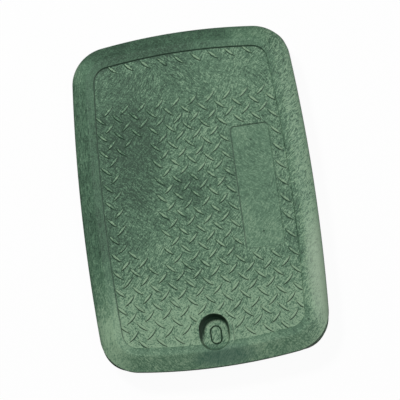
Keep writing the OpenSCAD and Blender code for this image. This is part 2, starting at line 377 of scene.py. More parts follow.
def obround(x: float, top: float, foot: float, radius: float, steps: int = 28, sides: int = 14) -> Plan:
    """Two half rounds about two points of one line along the cover, and the straights between them.

    Args:
        x: Place of the line across the cover.
        top: Place of the far round's centre.
        foot: Place of the near round's centre.
        radius: Radius of both rounds.
        steps: Chords in each round.
        sides: Parts of each straight.

    Returns:
        The outline.
    """
    return chain(
        arc((x, top), radius, 0, HALF_TURN, steps, ended=True),
        straight((x, top), (x, foot), radius, HALF_TURN, sides),
        arc((x, foot), radius, HALF_TURN, 2 * HALF_TURN, steps, ended=True),
        straight((x, foot), (x, top), radius, 0, sides),
    )


def arch(x: float, top: float, foot: float, radius: float, steps: int = 28, sides: int = 14) -> Plan:
    """Half round at the far end, with straight sides and a square near end.

    Args:
        x: Place of the centre line across the cover.
        top: Place of the round's centre.
        foot: Place of the square end.
        radius: Radius of the round.
        steps: Chords in the round.
        sides: Parts of each straight.

    Returns:
        The outline.
    """
    turn_y = foot + radius
    square = Plan(np.tile([x, turn_y], (2, 1)), np.full(2, radius), np.array([[-1.0, -1.0], [1.0, -1.0]]))
    return chain(
        arc((x, top), radius, 0, HALF_TURN, steps, ended=True),
        straight((x, top), (x, turn_y), radius, HALF_TURN, sides),
        square,
        straight((x, turn_y), (x, top), radius, 0, sides),
    )


def rounded_box(x: float, half_w: float, half_l: float, radius: float, steps: int = 10) -> Plan:
    """Rectangle with round corners about a point of the cover's short centre line.

    Args:
        x: Place of its centre across the cover.
        half_w: Half its width.
        half_l: Half its length.
        radius: Radius of its corners.
        steps: Chords in each corner.

    Returns:
        The outline.
    """
    dx, dy = half_w - radius, half_l - radius
    signs = ((1, 1), (-1, 1), (-1, -1), (1, -1))
    return chain(*(
        arc((x + sx * dx, sy * dy), radius, turn * QUARTER_TURN, (turn + 1) * QUARTER_TURN, steps, ended=True)
        for turn, (sx, sy) in enumerate(signs)))


def rounded(points: list[Point], radii: list[float], steps: int = 5) -> np.ndarray:
    """Section whose corners are rounded by arcs tangent to both neighbours.

    Args:
        points: Corner points as distance in and height.
        radii: Radius at each corner, 0 for a sharp one.
        steps: Chords in each arc.

    Returns:
        The points of the rounded section.
    """
    line = [np.array(p, float) for p in points]
    out = [line[0]]
    for before, here, after, radius in zip(line, line[1:], line[2:], radii[1:]):
        u = (before - here) / np.linalg.norm(before - here)
        v = (after - here) / np.linalg.norm(after - here)
        half = math.acos(float(np.clip(u @ v, -1, 1))) / 2
        if radius <= 0 or half > QUARTER_TURN - BEND_LEAST:
            out.append(here)
            continue
        reach = radius / math.tan(half)
        centre = here + (u + v) / np.linalg.norm(u + v) * radius / math.sin(half)
        a, b = here + u * reach - centre, here + v * reach - centre
        start, stop = math.atan2(a[1], a[0]), math.atan2(b[1], b[0])
        sweep = (stop - start + HALF_TURN) % (2 * HALF_TURN) - HALF_TURN
        turn = start + sweep * np.arange(steps + 1) / steps
        out.extend(centre + radius * np.stack([np.cos(turn), np.sin(turn)], axis=-1))
    out.append(line[-1])
    return np.array(out)


def guarded(section: np.ndarray, reach: float) -> np.ndarray:
    """Adds points close to both ends of long lines, so that flat faces stay flat when smoothed.

    Args:
        section: Points of the section, (n, 2).
        reach: Distance of the added points from the ends.

    Returns:
        The section with the added points.
    """
    run = np.diff(section, axis=0)
    length = np.linalg.norm(run, axis=1)
    is_long = length > 4 * reach
    ahead = run / np.maximum(length, reach)[:, None] * reach
    rows = [np.stack([a, a + step, b - step]) if split else a[None]
            for a, b, step, split in zip(section[:-1], section[1:], ahead, is_long)]
    return np.concatenate([*rows, section[-1:]])


def carried(plan: Plan, section: np.ndarray) -> np.ndarray:
    """Rings of a section, as distance in and height, carried along a plan."""
    return np.stack([np.column_stack([plan.ring(d), np.full(len(plan.radii), z)]) for d, z in section])


def shrunk(ring: np.ndarray, shares: np.ndarray) -> np.ndarray:
    """Flat rings inside a ring: each is the ring drawn to its mean point by a share."""
    middle = ring.mean(0)
    return middle + shares[:, None, None] * (ring - middle)


def capped(rings: np.ndarray, shares: np.ndarray = CAP_SHARES) -> Shell:
    """Closed surface through rings, its two ends filled with rings drawn to the middle by shares."""
    return loft(np.concatenate([shrunk(rings[0], shares), rings, shrunk(rings[-1], shares[::-1])]))


def combine(piece: bpy.types.Object, tool: bpy.types.Object, way: Cut) -> None:
    """Joins the tool to the piece or cuts it out, and deletes the tool.

    Args:
        piece: The object whose mesh is changed.
        tool: The object that is used up.
        way: Union or difference.
    """
    change = piece.modifiers.new("combine", "BOOLEAN")
    change.operation = way.value
    change.solver = "EXACT"
    change.object = tool
    done = bpy.data.meshes.new_from_object(piece.evaluated_get(bpy.context.evaluated_depsgraph_get()))
    piece.modifiers.clear()
    old, spent = piece.data, tool.data
    piece.data = done
    bpy.data.meshes.remove(old)
    bpy.data.objects.remove(tool)
    bpy.data.meshes.remove(spent)


@dataclass(frozen=True)
class Levels:
    """Heights that the whole cover shares, from the foot of the skirt up."""

    crest: float
    strip_drop: float = 1.5 * MM
    panel_drop: float = 1.4 * MM
    pad_drop: float = 0.8 * MM
    bevel_drop: float = 7.5 * MM
    edge_r: float = 1.6 * MM
    edge_h: float = 4.5 * MM
    plate_t: float = 5.5 * MM

    @property
    def foot(self) -> float:
        """Foot of the strip inside the crest, from which the panel falls away."""
        return self.crest - self.strip_drop

    @property
    def panel(self) -> float:
        """Sunken panel."""
        return self.foot - self.panel_drop

    @property
    def pad(self) -> float:
        """Label pad, sunk into the panel."""
        return self.panel - self.pad_drop

    @property
    def rim_top(self) -> float:
        """Outer end of the bevel."""
        return self.crest - self.bevel_drop

    @property
    def seat(self) -> float:
        """Face under the rim, which rests on the box."""
        return self.rim_top - self.edge_r - self.edge_h

    @property
    def plate_under(self) -> float:
        """Underside of the plate."""
        return self.panel - self.plate_t

    @property
    def border_under(self) -> float:
        """Underside of the border inside the skirt."""
        return self.seat + self.edge_h


@dataclass(frozen=True)
class Border:
    """Bevelled border with its strip, and the skirt under it.

    The laps are how far a section runs on over the plate, the seat, the border's underside and the plate's.
    """

    levels: Levels
    rim: BowedRectangle
    skirt: BowedRectangle
    width: float = 28.6 * MM
    bevel_w: float = 20 * MM
    crest_r: float = 8 * MM
    strip_r: float = 1.5 * MM
    gap: float = 0.4 * MM
    skirt_t: float = 4.5 * MM
    soft: float = 0.9 * MM
    guard: float = 0.4 * MM
    plate_lap: float = 4 * MM
    rim_lap: float = 2 * MM
    seat_lap: float = 1.2 * MM
    skirt_lap: float = 1.5 * MM
    border_lap: float = 6 * MM
    under_lap: float = 3 * MM

    @property
    def inset(self) -> float:
        """Distance of the panel's edge from the rim."""
        return self.width + self.gap

    @classmethod
    def meeting(cls, top: float) -> float:
        """Finds the height at which bevel and strip would meet without their rounding.

        Args:
            top: Height of the rounded crest.

        Returns:
            The height of the sharp crest.
        """
        bevel = math.atan2(Levels.bevel_drop, cls.bevel_w)
        strip = math.atan2(Levels.strip_drop, cls.width - cls.bevel_w)
        reach = cls.crest_r * math.tan((bevel + strip) / 2)
        return top + reach * math.sin(bevel) - cls.crest_r * (1 - math.cos(bevel))

    def top_section(self) -> np.ndarray:
        """Section of the border's top.

        Returns:
            Its points as distance in and height, from the plate out to the rim's lower edge.
        """
        z = self.levels
        return rounded(
            [
                (self.width + self.plate_lap, z.foot),
                (self.width, z.foot),
                (self.bevel_w, z.crest),
                (0.0, z.rim_top),
                (0.0, z.seat),
                (self.rim_lap, z.seat),
            ],
            [0, self.strip_r, self.crest_r, z.edge_r, self.soft, 0],
        )

    def top_at(self, points: np.ndarray) -> np.ndarray:
        """Height of the border's top, read from its section by the distance in from the rim.

        Args:
            points: Points in the plane, (n, 2).

        Returns:
            The height at each point.
        """
        section = self.top_section()
        upper = section[: int(np.argmin(section[:, 0]))][::-1]
        return np.interp(self.rim.depth(points[:, 0], points[:, 1]), upper[:, 0], upper[:, 1])

    def shell(self) -> Shell:
        """Plate, border and skirt in one: three sections, each along its own plan.

        Returns:
            The closed body.
        """
        z, soft = self.levels, self.soft
        rim, skirt = self.rim.plan(), self.skirt.plan()
        top = carried(rim, guarded(self.top_section(), self.guard))
        outer = rounded(
            [(-self.seat_lap, z.seat), (0, z.seat), (0, 0), (self.skirt_t, 0), (self.skirt_t, z.border_under),
             (self.skirt_t + self.skirt_lap, z.border_under)],
            [0, soft, soft, soft, soft, 0],
        )
        under = rounded(
            [(self.width - self.border_lap, z.border_under), (self.width, z.border_under),
             (self.width, z.plate_under), (self.width + self.under_lap, z.plate_under)],
            [0, soft, soft, 0],
        )
        return capped(np.concatenate([top, carried(skirt, outer), carried(rim, under)]))


@dataclass(frozen=True)
class Pocket:
    """Bolt pocket: a drafted well in a cup, with a ramp at the rim's end and a knock-out in its floor."""

    levels: Levels
    border: Border
    from_rim: float = 46 * MM
    radius: float = 18.6 * MM
    depth: float = 12 * MM
    lean: float = 2.2 * MM
    run: float = 8 * MM
    wall: float = 4.5 * MM
    lip: float = 0.5 * MM
    lip_flare: float = 1.6
    fillet: float = 1.6 * MM
    round_steps: int = 6
    wall_shares: tuple[float, ...] = (0.3, 0.6, 0.85)
    mouth: tuple[Point, ...] = ((1 * MM, 0.4 * MM), (8 * MM, 7 * MM))
    mouth_shares: tuple[float, ...] = (0.1, 0.5)
    floor_shares: tuple[float, ...] = (0.92, 0.8, 0.68, 0.56, 0.44, 0.32, 0.2, 0.08)
    ramp_angle: float = math.radians(60)
    ramp_r: float = 6 * MM
    ramp_gap: float = 0.5 * MM
    ramp_blend: float = 5.0 * MM
    ramp_lift: float = 0.03 * MM
    collar: float = 4.2 * MM
    collar_soft: float = 0.8 * MM
    collar_sink: float = 6 * MM
    collar_steps: int = 5
    collar_rise: tuple[Point, ...] = ((0.02 * MM, 0.2 * MM), (0.3 * MM, 8 * MM))
    cup_cover: float = 1.6 * MM
    cup_lap: float = 4 * MM
    cup_r: float = 1.5 * MM
    rib_room: float = 9 * MM
    knockout_l: float = 20 * MM
    knockout_w: float = 11.4 * MM
    knockout_x: float = 1.2 * MM
    knockout_ahead: float = 6.4 * MM
    groove: float = 1.6 * MM
    groove_depth: float = 1.4 * MM
    groove_lean: float = 0.15 * MM
    groove_side: tuple[Point, ...] = (
        (0.35 * MM, 0.5 * MM), (0.35 * MM, 0.02 * MM), (0.12 * MM, -0.12 * MM), (0.0, -0.4 * MM))
    groove_steps: tuple[int, int] = (20, 6)

    @property
    def y(self) -> float:
        """Place of the upper round's centre."""
        return self.from_rim - self.border.rim.half_l

    @property
    def floor(self) -> float:
        """Height of the floor."""
        return self.levels.foot - self.depth

    @property
    def knockout_y(self) -> float:
        """Place of the knock-out's centre."""
        return self.y - self.knockout_ahead

    def ramp(self, y: np.ndarray) -> np.ndarray:
        """Floor's height: flat, then an arc, then a slope that climbs towards the rim.

        Args:
            y: Places along the cover.

        Returns:
            The height at each place.
        """
        start = self.knockout_y - self.knockout_l / 2 - self.groove - self.ramp_gap
        out = np.maximum(start - y, 0)
        bend = self.ramp_r * math.sin(self.ramp_angle)
        curved = self.ramp_r - np.sqrt(np.maximum(self.ramp_r**2 - np.minimum(out, bend) ** 2, 0))
        return self.floor + curved + np.maximum(out - bend, 0) * math.tan(self.ramp_angle)

    def draped(self, ring: np.ndarray, above: float, below: float) -> np.ndarray:
        """Gives a ring of the well its height: the higher of floor plus one and top minus the other.

        The floor is the smooth lower of the ramp a and the border's top b: min(a, b) - h * h * k / 4,
        where h is the part of k by which |a - b| falls short of k, divided by k.

        Args:
            ring: Points in the plane, (n, 2).
            above: Distance over the floor.
            below: Distance under the border's top.

        Returns:
            The points with their heights, (n, 3).
        """
        top = self.border.top_at(ring)
        a, b = self.ramp(ring[:, 1]), top + self.ramp_lift
        short = np.maximum(self.ramp_blend - np.abs(a - b), 0) / self.ramp_blend
        floor = np.minimum(a, b) - short**2 * self.ramp_blend / 4
        return np.column_stack([ring, np.maximum(floor + above, top - below)])

    def well(self) -> Shell:
        """Body of the well, which is cut out: fillet, leaning wall, rounded lip and open mouth.

        Returns:
            The closed body.
        """
        plan = obround(0, self.y, self.y - self.run, self.radius)
        slope, deep = self.lean / self.depth, self.depth * 2
        turns = np.linspace(0, QUARTER_TURN, self.round_steps)
        rows = [(self.fillet * (1 - math.cos(t)) + RING_STEP * k, deep,
                 self.lean + self.fillet * (1 - math.sin(t))) for k, t in enumerate(turns)]
        rows += [(self.fillet + RING_STEP, self.depth * (1 - share), self.lean * (1 - share))
                 for share in self.wall_shares]
        rows += [(self.fillet + 2 * RING_STEP * (1 + t), self.lip * (1 - math.sin(t)),
                  -self.lip * (1 - math.cos(t)) + slope * self.lip) for t in turns]
        rows += [(self.fillet + rise, -over, -self.lip * self.lip_flare) for rise, over in self.mouth]
        rings = [self.draped(plan.ring(inset), above, below) for above, below, inset in rows]
        floor = shrunk(rings[0][:, :2], np.array(self.floor_shares))
        caps = [self.draped(ring, 0.0, deep) for ring in floor]
        return loft(np.stack([*shrunk(rings[-1], np.array(self.mouth_shares)), *rings[::-1], *caps]))

    def cup(self) -> Shell:
        """Cup under the plate, closed against the skirt.

        Returns:
            The closed body.
        """
        end = self.border.skirt.half_l - self.border.skirt_t / 2
        plan = arch(0, self.y, -end, self.radius + self.wall)
        bottom = self.floor - self.levels.plate_t
        upper = plan.ring(0)
        under = np.minimum(self.levels.panel, self.border.top_at(upper)) - self.cup_cover
        section = rounded([(0, bottom + self.cup_lap), (0, bottom), (self.cup_lap, bottom)],
                          [0, self.cup_r, 0])
        return capped(np.concatenate([np.column_stack([upper, under])[None], carried(plan, section)]))

    def collar_body(self) -> Shell:
        """Body of the collar, which the panel's cutter leaves standing, with its top edge rounded off.

        Returns:
            The closed body.
        """
        z, soft = self.levels, self.collar_soft
        plan = obround(0, self.y, -self.border.rim.half_l, self.radius + self.collar)
        (near, low), (far, high) = self.collar_rise
        section = [(0.0, z.panel - self.collar_sink)]
        section += [(soft * (1 - math.cos(t)), z.foot - soft * (1 - math.sin(t)))
                    for t in np.linspace(0, QUARTER_TURN, self.collar_steps)]
        section += [(soft + near, z.foot + low), (soft + far, z.crest + high)]
        return capped(carried(plan, np.array(section[::-1])), CAP_SHARES[:3])

    def groove_cut(self) -> Shell:
        """Groove round the knock-out: a section carried round an obround and closed on itself.

        The groove's outer half is its inner half mirrored, as distance out over the knock-out's side.

        Returns:
            The closed body.
        """
        half_run = (self.knockout_l - self.knockout_w) / 2
        plan = obround(self.knockout_x, self.knockout_y + half_run, self.knockout_y - half_run,
                       self.knockout_w / 2, *self.groove_steps)
        inner = [(inward, self.floor + rise) for inward, rise in self.groove_side]
        inner.append((-self.groove_lean, self.floor - self.groove_depth))
        section = inner + [(-(self.groove + inward), height) for inward, height in inner[::-1]]
        return loft(carried(plan, np.array(section[::-1])), closed=True)

    def rib_stop(self) -> Shell:
        """Room in the ribs for the cup, whose wall their ends run into.

        Returns:
            The closed body.
        """
        plan = arch(0, self.y, -self.border.rim.half_l, self.radius + self.wall / 2)
        section = np.array([(0.0, self.levels.panel + self.rib_room), (0.0, -self.rib_room)])
        return loft(carried(plan, section))


@dataclass(frozen=True)
class Sink:
    """Shallow flat sink with a rounded lip and a rounded foot, as the body that cuts it.

    Over the lip the body widens by two shares of the lip's radius, so that it clears the face round it.
    """

    lip: float
    fillet: float
    steps: int = 5
    flat: float = 1.2 * MM
    open_out: float = 3.0
    mouth_out: float = 1.7
    mouth_rise: float = 0.7

    def body(self, plan: Plan, inset: float, mouth: float, floor: float, top: float) -> Shell:
        """Makes the body.

        Args:
            plan: Outline that the sink follows.
            inset: Distance of the sink's wall from the outline.
            mouth: Height of the face round the sink.
            floor: Height of the sink's floor.
            top: Height at which the body ends.

        Returns:
            The closed body.
        """
        lip, fillet = self.lip, self.fillet
        turns = np.linspace(0, QUARTER_TURN, self.steps)
        section = [(inset - self.open_out * lip, top),
                   (inset - self.mouth_out * lip, mouth + self.mouth_rise * lip)]
        section += [(inset - lip * (1 - math.cos(t)), mouth - lip * (1 - math.sin(t))) for t in turns[::-1]]
        section += [(inset + fillet * (1 - math.cos(t)), floor + fillet * (1 - math.sin(t))) for t in turns]
        section += [(inset + fillet + self.flat, floor)]
        return capped(carried(plan, np.array(section)))


@dataclass(frozen=True)
class Panel:
    """Sunken panel, the label pad sunk into it and the mark of the moulding gate."""

    levels: Levels
    border: Border
    edge: Sink = Sink(0.7 * MM, 0.55 * MM)
    pad_edge: Sink = Sink(0.4 * MM, 0.35 * MM)
    clear: float = 4 * MM
    pad_w: float = 48 * MM
    pad_l: float = 157 * MM
    pad_x: float = 76.4 * MM
    pad_r: float = 5.5 * MM
    dimple_gap: float = 118 * MM
    dimple_r: float = 1.4 * MM
    dimple_depth: float = 0.65 * MM
    dimple_mouth: float = 1.35
    dimple_rise: Point = (1 * MM, 0.02 * MM)
    dimple_form: tuple[Point, ...] = ((1.05, 0.08), (0.8, 0.6), (0.5, 0.9), (0.15, 1.0))
    dimple_steps: int = 20
    gate_x: float = -3 * MM
    gate_y: float = -12 * MM
    gate_r: float = 2.4 * MM
    gate_h: float = 0.5 * MM
    gate_form: tuple[Point, ...] = (
        (0.3, 0.55), (0.6, 0.8), (0.8, 1.0), (0.95, 0.7), (1.05, 0.0), (1.05, -1.0))
    gate_steps: int = 28
    gate_waves: tuple[tuple[float, int, float], ...] = ((0.12, 3, 0.6), (0.07, 5, 0.0))
    gate_slope: float = 0.3

    def room(self) -> Shell:
        """Body over the panel, which is cut out of the plate."""
        plan, z = self.border.rim.plan(), self.levels
        return self.edge.body(plan, self.border.inset, z.foot, z.panel, z.crest + self.clear)

    def pad_room(self) -> Shell:
        """Body over the label pad, which is cut out of the panel."""
        plan, z = rounded_box(self.pad_x, self.pad_w / 2, self.pad_l / 2, self.pad_r), self.levels
        return self.pad_edge.body(plan, 0.0, z.panel, z.pad, z.crest + self.clear)

    def dimple(self, y: float) -> Shell:
        """Bowl that is cut into the pad: a body of revolution with a flared lip.

        Args:
            y: Its place along the cover.

        Returns:
            The closed body.
        """
        z = self.levels.pad
        section = [(self.dimple_mouth * self.dimple_r, z + rise) for rise in self.dimple_rise]
        section += [(out * self.dimple_r, z - down * self.dimple_depth) for out, down in self.dimple_form]
        turn = np.linspace(0, 2 * HALF_TURN, self.dimple_steps, endpoint=False)
        circle = np.stack([np.cos(turn), np.sin(turn)], axis=-1)
        rings = [np.column_stack([circle * radius, np.full(len(turn), height)]) for radius, height in section]
        return loft(np.stack(rings)).moved(self.pad_x, y)

    def gate(self) -> Shell:
        """Low stub with a broken-off top.

        Its radius wavers as 1 + the sum of a sin(n t + p), and its height as 1 + s sin(2 t + share).

        Returns:
            The closed body.
        """
        turn = np.linspace(0, 2 * HALF_TURN, self.gate_steps, endpoint=False)
        waver = 1 + sum(size * np.sin(count * turn + start) for size, count, start in self.gate_waves)
        rings = [np.column_stack([
            np.cos(turn) * waver * share * self.gate_r,
            np.sin(turn) * waver * share * self.gate_r,
            self.levels.panel + self.gate_h * rise * (1 + self.gate_slope * np.sin(2 * turn + share)),
        ]) for share, rise in self.gate_form]
        return loft(np.stack(rings)).moved(self.gate_x, self.gate_y)


@dataclass(frozen=True)
class Treads:
    """Lens-shaped bars on a lattice: whole steps lean one way, half steps the other."""

    panel: Panel
    pocket: Pocket
    pitch_x: float = 21.75 * MM
    pitch_y: float = 22.15 * MM
    length: float = 18.8 * MM
    width: float = 5.3 * MM
    height: float = 1.3 * MM
    crown: float = 0.75 * MM
    sink: float = 0.5 * MM
    taper: float = 2.2
    least_width: float = 0.05
    tip: float = 0.985
    tip_height: float = 0.35
    softness: float = 1.5
    stations: tuple[float, ...] = (-1, -0.93, -0.7, -0.35, 0, 0.35, 0.7, 0.93, 1)
    across: tuple[float, ...] = (-1.0, -0.85, -0.65, -0.35, 0.0, 0.35, 0.65, 0.85, 1.0)
    margin: float = 3 * MM
    end_gap: float = 0.3 * MM
    reach_steps: int = 40
    band: Point = (130 * MM, 169 * MM)
    bare_columns: tuple[float, float, float] = (50 * MM, 70 * MM, 94 * MM)
    bare_halves: Point = (79 * MM, 60 * MM)
    pad_gap: float = 3.8 * MM
    pad_end_gap: float = 5.6 * MM
    collar_gap: float = 1.4 * MM

    def past_collar(self, q: np.ndarray) -> np.ndarray:
        """Distance of points outside the collar of the pocket."""
        away = np.hypot(q[..., 0], np.maximum(q[..., 1] - self.pocket.y, 0))
        return away - (self.pocket.radius + self.pocket.collar)

    def places(self, side: Side) -> np.ndarray:
        """Lattice places of one direction, without those on smooth areas.

        Args:
            side: The direction.

        Returns:
            The places, (n, 2).
        """
        pad, rim = self.panel, self.panel.border.rim
        half = 0.0 if side is Side.FALLING else 0.5
        nx, ny = math.ceil(rim.half_w / self.pitch_x), math.ceil(rim.half_l / self.pitch_y)
        x, y = np.meshgrid((np.arange(-nx, nx + 1) + half) * self.pitch_x,
                           (np.arange(-ny, ny + 1) + half) * self.pitch_y, indexing="ij")
        x, y = x.ravel(), y.ravel()
        inner, middle, outer = self.bare_columns
        bare = (y > self.band[0]) & (y < self.band[1])
        beside = (-x > inner) & (-x < outer)
        bare |= beside & (np.abs(y) < np.where(-x < middle, self.bare_halves[0], self.bare_halves[1]))
        bare |= (np.abs(x - pad.pad_x) < pad.pad_w / 2 + self.pad_gap) & (
            np.abs(y) < pad.pad_l / 2 + self.pad_end_gap)
        at = np.stack([x, y], axis=-1)
        bare |= self.past_collar(at) < self.collar_gap
        return at[(rim.depth(x, y) > pad.border.width + self.margin) & ~bare]

    def reach(self, at: np.ndarray, u: np.ndarray) -> np.ndarray:
        """Share of a tread's half length that stays on the panel.

        Args:
            at: Places of the treads, (n, 2).
            u: Direction along them.

        Returns:
            The share for each tread.
        """
        share = np.arange(1, self.reach_steps + 1) / self.reach_steps
        q = at[:, None, :] + share[None, :, None] * u * self.length / 2
        border = self.panel.border
        free = border.rim.depth(q[..., 0], q[..., 1]) > border.inset + self.end_gap
        free &= self.past_collar(q) > self.end_gap
        run = np.cumprod(free, axis=1).sum(axis=1)
        return share[np.maximum(run, 1) - 1]

    def shell(self, side: Side) -> Shell:
        """All treads of one direction.

        A tread is a section carried along its axis: half width w (1 - |t|^2.2) and height
        h - c t^2, and across it the height falls as (1 - u^2)^1.5, which leaves a soft foot.

        Args:
            side: The direction.

        Returns:
            The treads, each closed at its ends.
        """
        turn = math.radians(side.value)
        u, v = np.array([math.cos(turn), math.sin(turn)]), np.array([-math.sin(turn), math.cos(turn)])
        at, station, across = self.places(side), np.array(self.stations), np.array(self.across)
        ahead, back = self.reach(at, u)[:, None], self.reach(at, -u)[:, None]
        t = station[None] * np.where(station[None] > 0, ahead, back)
        half_width = self.width / 2 * np.maximum(1 - np.abs(t) ** self.taper, self.least_width)
        rise = (self.height - self.crown * t**2) * np.where(np.abs(t) > self.tip, self.tip_height, 1.0)
        form = (1 - across**2) ** self.softness
        along = t[..., None] * self.length / 2 * np.ones_like(across)
        aside = half_width[..., None] * across
        height = self.panel.levels.panel + rise[..., None] * form - self.sink * (np.abs(across) == 1)
        points = at[:, None, None, :] + along[..., None] * u + aside[..., None] * v
        points = np.concatenate([points, height[..., None]], axis=-1)
        count, stations, ring = points.shape[:3]
        fan = np.arange(1, ring - 1)
        first = np.stack([np.zeros_like(fan), fan, fan + 1], -1)
        last = np.stack([np.zeros_like(fan), fan + 1, fan], -1) + (stations - 1) * ring
        shift = (np.arange(count) * stations * ring)[:, None, None]
        quads = (tube_quads(stations, ring)[None] + shift).reshape(-1, 4)
        tris = (np.vstack([first, last])[None] + shift).reshape(-1, 3)
        return Shell(points.reshape(-1, 3), quads, tris)


@dataclass(frozen=True)
class Ribs:
    """Grid of ribs inside the skirt, their lower edges rounded."""

    levels: Levels
    border: Border
    thick: float = 4 * MM
    widest: float = 80 * MM
    lift: float = 2 * MM
    root: float = 1.5 * MM
    draft: float = 0.25 * MM
    soft: float = 0.9 * MM

    def bar(self, a: np.ndarray, b: np.ndarray) -> Shell:
        """Rib between two points: its upright section carried along the line, closed at both ends.

        Args:
            a: Start in the plane.
            b: End in the plane.

        Returns:
            The closed body.
        """
        top, foot, half = self.levels.plate_under + self.root, self.lift, self.thick / 2
        wide = half + self.draft
        section = rounded([(0, top), (wide, top), (half, foot), (-half, foot), (-wide, top), (0, top)],
                          [0, 0, self.soft, self.soft, 0, 0], 3)[:-1]
        u = (b - a) / np.linalg.norm(b - a)
        side = np.array([-u[1], u[0]])
        rings = [np.column_stack([end + section[:, :1] * side, section[:, 1]]) for end in (a, b)]
        return loft(np.stack(rings)[:, ::-1])

    def lines(self, inner: float) -> list[float]:
        """Places of the ribs over a width, in equal bays no wider than the widest."""
        count = math.ceil((inner + self.thick) / (self.widest + self.thick))
        return [(k - count / 2) * (inner + self.thick) / count for k in range(1, count)]

    def shell(self) -> Shell:
        """All ribs, their ends in the middle of the skirt's wall.

        Returns:
            The ribs, which run through each other.
        """
        skirt, wall = self.border.skirt, self.border.skirt_t
        bars = []
        for x in self.lines(2 * (skirt.half_w - wall)):
            y = skirt.reach_y(x, wall / 2)
            bars.append(self.bar(np.array([x, -y]), np.array([x, y])))
        for y in self.lines(2 * (skirt.half_l - wall)):
            x = skirt.reach_x(y, wall / 2)
            bars.append(self.bar(np.array([-x, y]), np.array([x, y])))
        return sum(bars[1:], bars[0])


@dataclass(frozen=True)
class Fade:
    """Smooth rise of a mask from 0 at its start to 1 at its stop, which may be the lower value."""

    start: float
    stop: float

    def over(self, level: float) -> "Fade":
        """The same fade, measured from a level."""
        return Fade(level + self.start, level + self.stop)


@dataclass(frozen=True)
class Ridge:
    """Mask that is 1 at its middle and falls to 0 at its reach on both sides."""

    middle: float
    reach: float


class Wire:
    """Socket of a node tree that can be used in Python arithmetic."""

    def __init__(self, tree: "NodeTree", socket: bpy.types.NodeSocket) -> None:
        """Keeps the tree and the socket."""
        self.tree = tree
        self.socket = socket

    def maths(self, operation: str, *others: object) -> "Wire":
        """This socket and others through one Math node."""
        return self.tree.node("ShaderNodeMath", {"operation": operation}, [self, *others])

    def __add__(self, other: object) -> "Wire":
        """Sum."""
        return self.maths("ADD", other)

    def __radd__(self, other: object) -> "Wire":
        """Sum with the number first."""
        return self.maths("ADD", other)

    def __mul__(self, other: object) -> "Wire":
        """Product."""
        return self.maths("MULTIPLY", other)

    def __rmul__(self, other: object) -> "Wire":
        """Product with the number first."""
        return self.maths("MULTIPLY", other)

    def __sub__(self, other: object) -> "Wire":
        """Difference."""
        return self.maths("SUBTRACT", other)

    def __rsub__(self, other: object) -> "Wire":
        """Difference with the number first."""
        return (-self).maths("ADD", other)

    def __neg__(self) -> "Wire":
        """The same value with the other sign."""
        return self * -1.0

    def __truediv__(self, other: object) -> "Wire":
        """Quotient."""
        return self.maths("DIVIDE", other)

    def __pow__(self, other: object) -> "Wire":
        """Power."""
        return self.maths("POWER", other)

    def __abs__(self) -> "Wire":
        """Size without the sign."""
        return self.maths("ABSOLUTE")

    def least(self, other: object) -> "Wire":
        """The lower of two values."""
        return self.maths("MINIMUM", other)

    def most(self, other: object) -> "Wire":
        """The higher of two values."""
        return self.maths("MAXIMUM", other)

    def share(self) -> "Wire":
        """The value held between 0 and 1."""
        return self.least(1.0).most(0.0)

    def hypot(self, other: object) -> "Wire":
        """Length of the vector with these two parts."""
        return (self * self + other * other) ** 0.5

    def near(self, ridge: Ridge) -> "Wire":
        """Ridge over this value: 1 - ((value - middle) / reach)^2, not below 0."""
        return (1.0 - ((self - ridge.middle) / ridge.reach) ** 2.0).most(0.0)

    def step(self, fade: Fade) -> "Wire":
        """Fade over this value."""
        settings = {"interpolation_type": "SMOOTHSTEP", "clamp": True}
        return self.tree.node("ShaderNodeMapRange", settings, [self, fade.start, fade.stop, 0.0, 1.0])


class NodeTree:
    """Nodes of a material or of the world, built by expressions."""

    def __init__(self, tree: bpy.types.NodeTree) -> None:
        """Keeps the tree."""
        self.tree = tree

    def node(self, kind: str, settings: dict[str, object], values: object, out: int | str = 0) -> Wire:
        """Adds a node.

        Args:
            kind: The node's type.
            settings: Its properties, set before its sockets.
            values: Values or wires of its inputs, as a list in order or a dictionary by name.
            out: Name or number of the output that is returned.

        Returns:
            The wanted output.
        """
        node = self.tree.nodes.new(kind)
        for key, value in settings.items():
            setattr(node, key, value)
        pairs = values.items() if isinstance(values, dict) else enumerate(values)
        for key, value in pairs:
            self.put(value, node.inputs[key])
        return Wire(self, node.outputs[out])

    def put(self, value: object, socket: bpy.types.NodeSocket) -> None:
        """Sets an input to a value, or links a wire to it.

        Args:
            value: The value or the wire.
            socket: The input.
        """
        if isinstance(value, Wire):
            self.tree.links.new(value.socket, socket)
        else:
            socket.default_value = value

    def mix(self, share: object, a: object, b: object) -> Wire:
        """Mixes two colours by a share."""
        settings = {"data_type": "RGBA", "clamp_factor": True}
        return self.node("ShaderNodeMix", settings, {0: share, 6: a, 7: b}, 2)

    def split(self, vector: Wire) -> tuple[Wire, Wire, Wire]:
        """The three parts of a vector."""
        parts = self.node("ShaderNodeSeparateXYZ", {}, [vector]).socket.node.outputs
        return Wire(self, parts[0]), Wire(self, parts[1]), Wire(self, parts[2])


class Shader(NodeTree):
    """Node tree of one material with a principled shader."""

    def __init__(self, name: str) -> None:
        """Makes the material.

        Args:
            name: The material's name.
        """
        self.material = bpy.data.materials.new(name)
        self.material.use_nodes = True
        super().__init__(self.material.node_tree)
        self.surface = self.tree.nodes["Principled BSDF"]
        self.output = self.tree.nodes["Material Output"]

    def feed(self, **inputs: object) -> None:
        """Sets inputs of the principled shader, named with underscores."""
        for key, value in inputs.items():
            self.put(value, self.surface.inputs[key.replace("_", " ").title().replace("Ior", "IOR")])


@dataclass(frozen=True)
class Spot:
    """Soft round or oval patch on the cover and the amount by which it changes the colour; most such patches
    are painted light and shade.
    """

    x: float
    y: float
    reach_x: float
    reach_y: float
    amount: float = 1.0


